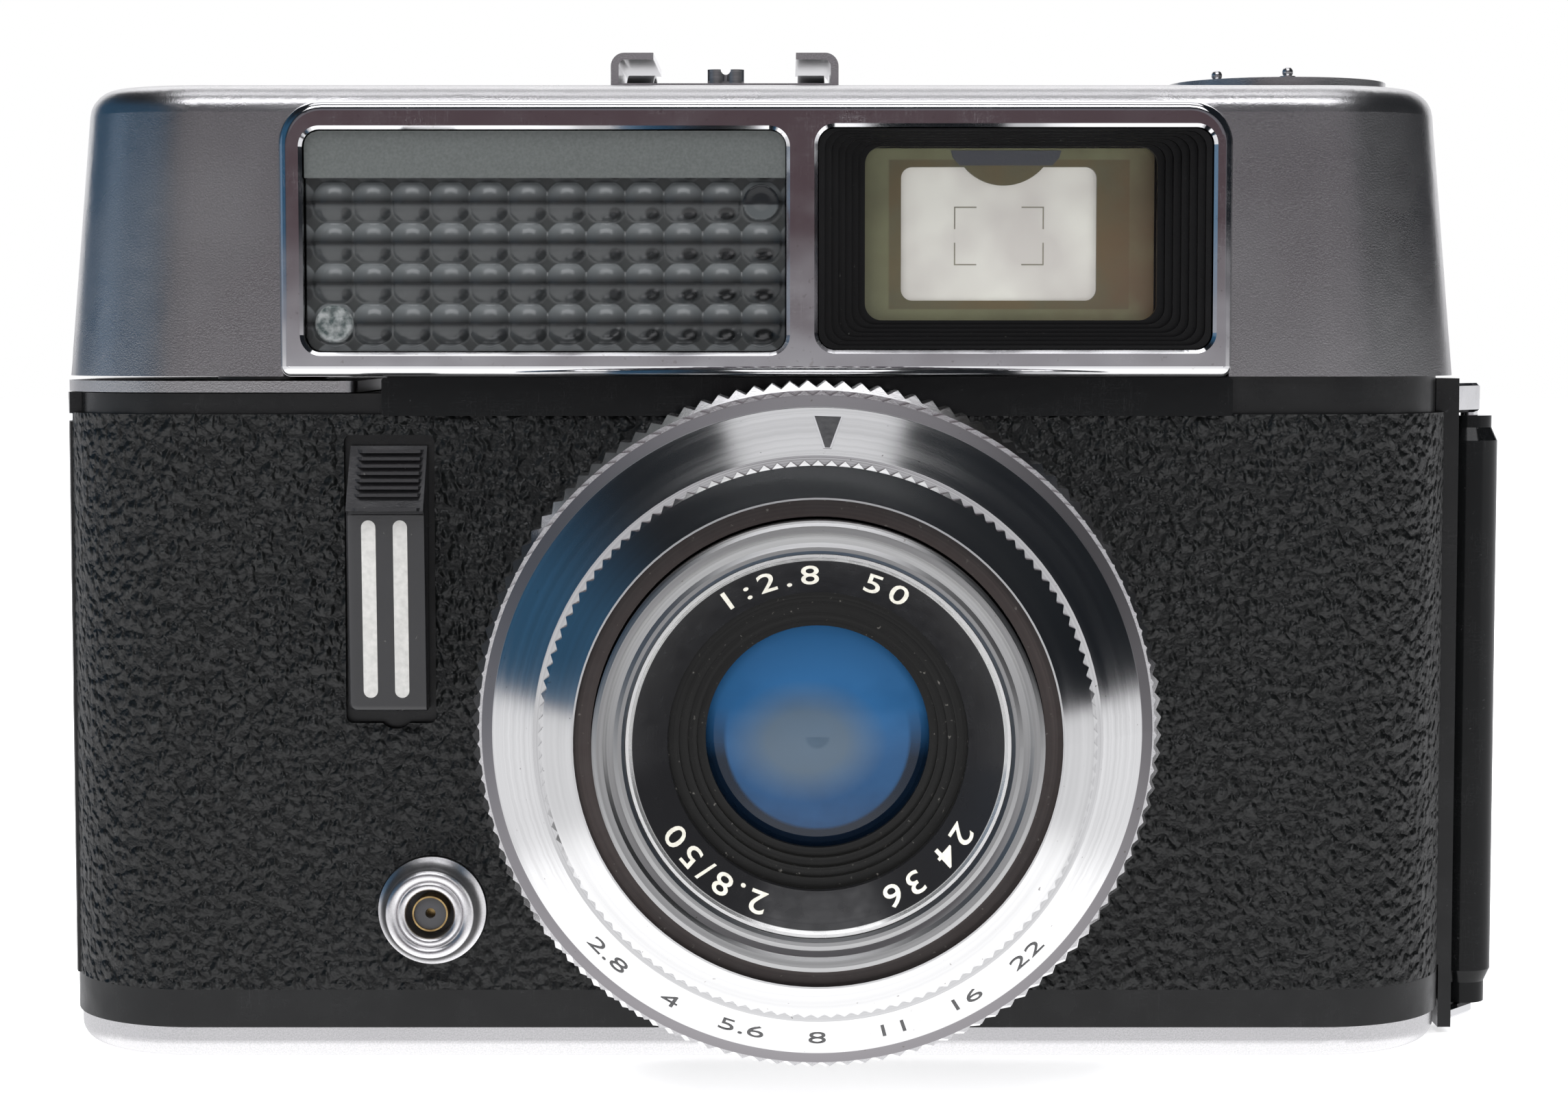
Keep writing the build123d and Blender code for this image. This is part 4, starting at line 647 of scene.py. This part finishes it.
def meter_lenses():
    """Moulded window over the meter cell: a plain strip above rows of small round lenses."""
    low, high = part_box("meter_window")
    x0, z0, x1, z1 = low.x / MM, low.z / MM, high.x / MM, high.z / MM
    front, back = low.y / MM, high.y / MM
    bulge, sink, ball = 0.94, 1.0, 2.55
    flats = {(0, METER_COLUMNS - 1), (METER_ROWS - 1, 0)}
    flat_reach, flat_height = 1.55, 0.62
    corner = 1.3

    def height(x, z):
        """How far the face stands in front of the sunk floor."""
        if z > METER_STRIP_LOW:
            return sink
        column = min(max(round((x - METER_FIRST_X) / METER_PITCH_X), 0), METER_COLUMNS - 1)
        row = min(max(round((METER_FIRST_Z - z) / METER_PITCH_Z), 0), METER_ROWS - 1)
        dx, dz = x - (METER_FIRST_X + column * METER_PITCH_X), z - (METER_FIRST_Z - row * METER_PITCH_Z)
        reach = math.hypot(dx, dz)
        if (row, column) in flats and reach < flat_reach:
            return flat_height + 0.06 * math.cos(reach * 4.0)
        dome = math.sqrt(max(ball**2 - dx**2 - dz**2, 0)) - ball + bulge
        return max(dome, 0.06)

    def side_cut(z):
        """How far the rounded corners take the sides in at a height."""
        inset = max(corner - (z - z0), corner - (z1 - z), 0)
        return corner - math.sqrt(max(corner**2 - inset**2, 0))

    nx, nz = 300, 150
    zs = [z0 + (z1 - z0) * k / nz for k in range(nz + 1)]
    zs = sorted([*zs, METER_STRIP_LOW - 0.01, METER_STRIP_LOW + 0.01])
    vertices, faces = [], []
    for z in zs:
        cut = side_cut(z)
        for column in range(nx + 1):
            x = x0 + cut + (x1 - x0 - 2 * cut) * column / nx
            vertices.append(Vector((x, front + sink - height(x, z), z)) * MM)
    for z in zs:
        cut = side_cut(z)
        for x in (x0 + cut, x1 - cut):
            vertices.append(Vector((x, back, z)) * MM)
    wide, tall = nx + 1, len(zs)
    strip_faces = []
    for row in range(tall - 1):
        for column in range(nx):
            a = row * wide + column
            faces.append((a, a + 1, a + wide + 1, a + wide))
            strip_faces.append(zs[row] >= METER_STRIP_LOW)
    rear = tall * wide
    for row in range(tall - 1):
        a, b = rear + 2 * row, rear + 2 * row + 2
        faces.append((a + 1, a, b, b + 1))
        faces.append((row * wide, (row + 1) * wide, b, a))
        faces.append(((row + 1) * wide - 1, a + 1, b + 1, (row + 2) * wide - 1))
    faces.append((rear, rear + 1, *range(nx, -1, -1)))
    last = rear + 2 * (tall - 1)
    faces.append((last + 1, last, *range((tall - 1) * wide, tall * wide)))
    made = piece("meter_lens_array", vertices, faces, LENSES, "camera")
    made.data.materials.append(STRIP)
    for polygon in made.data.polygons:
        if polygon.index < len(strip_faces):
            polygon.use_smooth = not strip_faces[polygon.index]
            polygon.material_index = int(strip_faces[polygon.index])
    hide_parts("meter_window")


meter_lenses()


def flat_place(x, y, z):
    """Map for marks on a face that looks forward, about a point in millimetres."""

    def place(across, up, out):
        return Vector((x + across, y - out, z + up)) * MM

    return place


def disc_place(centre, z, angle, radius):
    """Map for marks on top of a dial, read from outside its centre."""

    def place(across, up, out):
        theta = math.radians(angle) - across / radius
        r = radius + up
        x, y = centre.x / MM + r * math.cos(theta), centre.y / MM + r * math.sin(theta)
        return Vector((x, y, z + out)) * MM

    return place


def finder_details():
    """Pale view behind the finder's mask, with its frame lines and the meter's read-out above."""
    mask_low, mask_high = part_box("finder_mask")
    x, z = middle("finder_mask").x / MM, middle("finder_mask").z / MM
    back = mask_high.y / MM
    half_x, half_z, corner = 9.4, 6.6, 1.0
    outline = []
    for turn in range(4):
        centre_x = (half_x - corner) * (1 if turn in (0, 3) else -1)
        centre_z = (half_z - corner) * (1 if turn in (0, 1) else -1)
        for step in range(7):
            theta = math.radians(90 * turn + 15 * step)
            outline.append((centre_x + corner * math.cos(theta), centre_z + corner * math.sin(theta)))
    view_y = back + 0.3
    place = flat_place(x - 0.9, view_y, z + 0.07)
    # the pale view glows with painted light
    prism("finder_view", outline, place, 0.15, GLOWING_VIEW, "camera")
    line_y = view_y - 0.17
    left, right, low, high, width, arm = 17.5, 25.5, 70.1, 75.3, 0.12, 2.0
    for name, corner_x, corner_z, go_x, go_z in (
        ("frame_line_a", left, high, 1, -1), ("frame_line_b", right, high, -1, -1),
        ("frame_line_c", left, low, 1, 1), ("frame_line_d", right, low, -1, 1),
    ):
        shape = [(0, 0), (arm * go_x, 0), (arm * go_x, width * go_z), (width * go_x, width * go_z),
                 (width * go_x, arm * go_z), (0, arm * go_z)]
        place = flat_place(corner_x, line_y, corner_z)
        prism(name, shape, place, 0.01, FRAME_LINE, "camera")
    bar = [(-4.9, 0.65), (4.9, 0.65), (4.7, 0.0), (4.1, -0.65), (-4.1, -0.65), (-4.7, 0.0)]
    place = flat_place(x - 0.3, mask_low.y / MM - 0.06, mask_high.z / MM - 0.85)
    prism("meter_readout", bar, place, 0.04, READOUT, "camera")


finder_details()


def release_stripes():
    """Two pale strips let into the sloping plate of the release."""
    low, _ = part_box("release_slider")
    foot = low.z / MM
    foot_y, head_y, plate_height = -18.9, -19.9, 17.2
    slope = (head_y - foot_y) / plate_height
    bottom, top = foot + 1.2, foot + 16.75
    plate_x, apart = -32.25, 2.74
    half, round_steps = 0.62, 12
    for name, side in (("release_stripe_left", -0.5), ("release_stripe_right", 0.5)):
        x = plate_x + side * apart

        def place(across, up, out, x=x):
            return Vector((x + across, foot_y + (up - foot) * slope - out, up)) * MM

        outline = []
        for end, start in ((top - half, 0), (bottom + half, 180)):
            for step in range(round_steps + 1):
                theta = math.radians(start + 180 * step / round_steps)
                outline.append((half * math.cos(theta), end + half * math.sin(theta)))
        prism(name, outline, place, 0.04, PALE, "release")


release_stripes()

# numbers on the frame counter and on the film reminder
counter_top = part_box("counter_dial")[1].z / MM
for frame_number in range(0, 36, 4):
    place = disc_place(COUNTER, counter_top, 90 + frame_number * 10, 6.0)
    name = f"count_{frame_number}"
    lettering(name, str(frame_number), 1.9, place, 0.03, DARK, "counter")

dial_top = 86.95  # flat face of the dial, which its two pins stand on
for position, speed in enumerate(("25", "50", "100", "200", "400")):
    place = disc_place(KNOB, dial_top, 300 - position * 30, 5.6)
    lettering(f"speed_{speed}", speed, 1.6, place, 0.02, DARK, "reminder")

# ---------------------------------------------------------------- studio


def ground():
    """Plain pale floor that the camera stands on."""
    reach = 3.0
    mesh = bpy.data.meshes.new("floor")
    level = cad_low.z - 0.0001
    signs = ((-1, -1), (1, -1), (1, 1), (-1, 1))
    corners = [(right * reach, deep * reach, level) for right, deep in signs]
    mesh.from_pydata(corners, [], [(0, 1, 2, 3)])
    look = Look("floor_white", (0.93, 0.93, 0.93), 0.7, Specular_IOR_Level=0.1, Emission_Strength=0.5)
    look.shader.inputs["Emission Color"].default_value = (1.0, 1.0, 1.0, 1.0)
    look.bump(look.noise(0.02, 2.0), 0.05)
    mesh.materials.append(look.material)
    made = bpy.data.objects.new("floor", mesh)
    made.visible_glossy = False
    bpy.context.scene.collection.objects.link(made)


def studio_world():
    """White studio light; mirrors see a dark room with lamps, a white wall behind and a pale table."""
    world = bpy.data.worlds.new("studio")
    world.use_nodes = True
    bpy.context.scene.world = world
    tree = world.node_tree
    background = tree.nodes["Background"]

    def link_or_set(node, key, value):
        if isinstance(value, bpy.types.NodeSocket):
            tree.links.new(value, node.inputs[key])
        else:
            node.inputs[key].default_value = value

    def calc(operation, a, b=0.0):
        node = tree.nodes.new("ShaderNodeMath")
        node.operation = operation
        link_or_set(node, 0, a)
        link_or_set(node, 1, b)
        return node.outputs[0]

    def ramp(value, low, high):
        """0 below low and 1 above high, smooth between; the other way round if low is above high."""
        node = tree.nodes.new("ShaderNodeMapRange")
        node.interpolation_type = "SMOOTHSTEP"
        for key, amount in ((0, value), (1, min(low, high)), (2, max(low, high))):
            link_or_set(node, key, amount)
        node.inputs[3].default_value = 0.0 if low < high else 1.0
        node.inputs[4].default_value = 1.0 if low < high else 0.0
        return node.outputs[0]

    def both(*masks):
        product = masks[0]
        for mask in masks[1:]:
            product = calc("MULTIPLY", product, mask)
        return product

    def over(base, mask, colour):
        node = tree.nodes.new("ShaderNodeMix")
        node.data_type = "RGBA"
        link_or_set(node, 0, mask)
        for key, value in ((6, base), (7, colour)):
            link_or_set(node, key, value if isinstance(value, bpy.types.NodeSocket) else (*value, 1))
        return node.outputs[2]

    direction = tree.nodes.new("ShaderNodeTexCoord").outputs["Generated"]
    split = tree.nodes.new("ShaderNodeSeparateXYZ")
    tree.links.new(direction, split.inputs[0])
    x, y, z = split.outputs
    lean = calc("DIVIDE", x, calc("MAXIMUM", z, 0.05))

    # dark room with blue window light from the left, greyer in front
    room = over((0.008, 0.01, 0.013), both(ramp(x, -0.4, -0.75), ramp(z, 0.75, 0.3)), (0.025, 0.08, 0.15))
    front = both(ramp(y, -0.72, -0.86), ramp(z, 0.5, 0.3), ramp(x, -0.5, -0.3))
    room = over(room, front, (0.14, 0.132, 0.148))
    room = over(room, both(ramp(y, -0.8, -0.9), ramp(z, 0.14, 0.1)), (0.085, 0.06, 0.068))
    room = over(room, both(ramp(x, -0.95, -0.99)), (0.12, 0.2, 0.3))
    top = both(ramp(lean, -0.36, -0.3), ramp(lean, 0.36, 0.3), ramp(z, 0.5, 0.62), ramp(y, -0.1, 0.1))
    room = over(room, top, (0.68, 0.68, 0.7))
    # two lamps overhead, one in front of the object and one above it
    overhead = both(ramp(x, -0.42, -0.34), ramp(x, 0.42, 0.34), ramp(z, 0.5, 0.6))
    room = over(room, both(overhead, ramp(y, -0.74, -0.7), ramp(y, -0.46, -0.5)), (3.4, 3.4, 3.5))
    room = over(room, both(overhead, ramp(y, -0.24, -0.2), ramp(y, 0.08, 0.02)), (1.8, 1.8, 1.85))
    # white wall behind the object, brightest in the middle
    room = over(room, both(ramp(y, 0.36, 0.46), ramp(x, -0.5, -0.4), ramp(x, 0.5, 0.4)), (1.6, 1.6, 1.62))
    room = over(room, ramp(y, 0.7, 0.8), (1.1, 1.1, 1.12))
    # table, brighter towards the object
    room = over(room, ramp(z, 0.04, -0.01), (0.3, 0.29, 0.31))
    table = over((0.45, 0.45, 0.47), ramp(z, -0.02, -0.2), (0.9, 0.9, 0.92))
    table = over(table, ramp(z, -0.35, -0.6), (1.4, 1.4, 1.42))
    room = over(room, ramp(z, -0.005, -0.03), table)
    sides = both(ramp(y, -0.75, -0.6), ramp(z, 0.01, -0.03), ramp(z, -0.5, -0.35))
    room = over(room, sides, (0.85, 0.85, 0.87))

    path = tree.nodes.new("ShaderNodeLightPath").outputs
    soft = over((0.9, 0.9, 0.92), ramp(z, 0.1, 0.9), (1.25, 1.25, 1.28))
    seen = over(soft, path["Is Glossy Ray"], room)
    white = calc("MAXIMUM", path["Is Camera Ray"], path["Is Transmission Ray"])
    seen = over(seen, white, (1.0, 1.0, 1.0))
    tree.links.new(seen, background.inputs["Color"])


def area_light(name, place, target, size, power):
    """Soft box that isn't seen in mirrors, where the room itself shows."""
    data = bpy.data.lights.new(name, "AREA")
    data.shape = "RECTANGLE"
    data.size, data.size_y = size
    data.energy = power
    made = bpy.data.objects.new(name, data)
    made.location = place
    made.rotation_euler = (Vector(target) - Vector(place)).to_track_quat("-Z", "Y").to_euler()
    made.visible_glossy = False
    made.visible_camera = False
    bpy.context.scene.collection.objects.link(made)


def photograph_camera():
    """Camera in front of the object, a little above its middle and tilted down."""
    data = bpy.data.cameras.new("view")
    data.lens = 73.95
    data.sensor_width = 36.0
    data.clip_start = 0.01
    made = bpy.data.objects.new("view", data)
    made.location = (0.002385, -0.298286, 0.063742)
    made.rotation_euler = (math.radians(90 - 3.9), 0, 0)
    bpy.context.scene.collection.objects.link(made)
    bpy.context.scene.camera = made


ground()
studio_world()
centre = (cad_low + cad_high) / 2
area_light("key", (-0.15, -0.35, 0.6), centre, (0.5, 0.4), 5.0)
area_light("back", (0.1, 0.5, 0.6), centre, (0.8, 0.4), 4.0)
photograph_camera()
bpy.context.scene.view_settings.view_transform = "Standard"
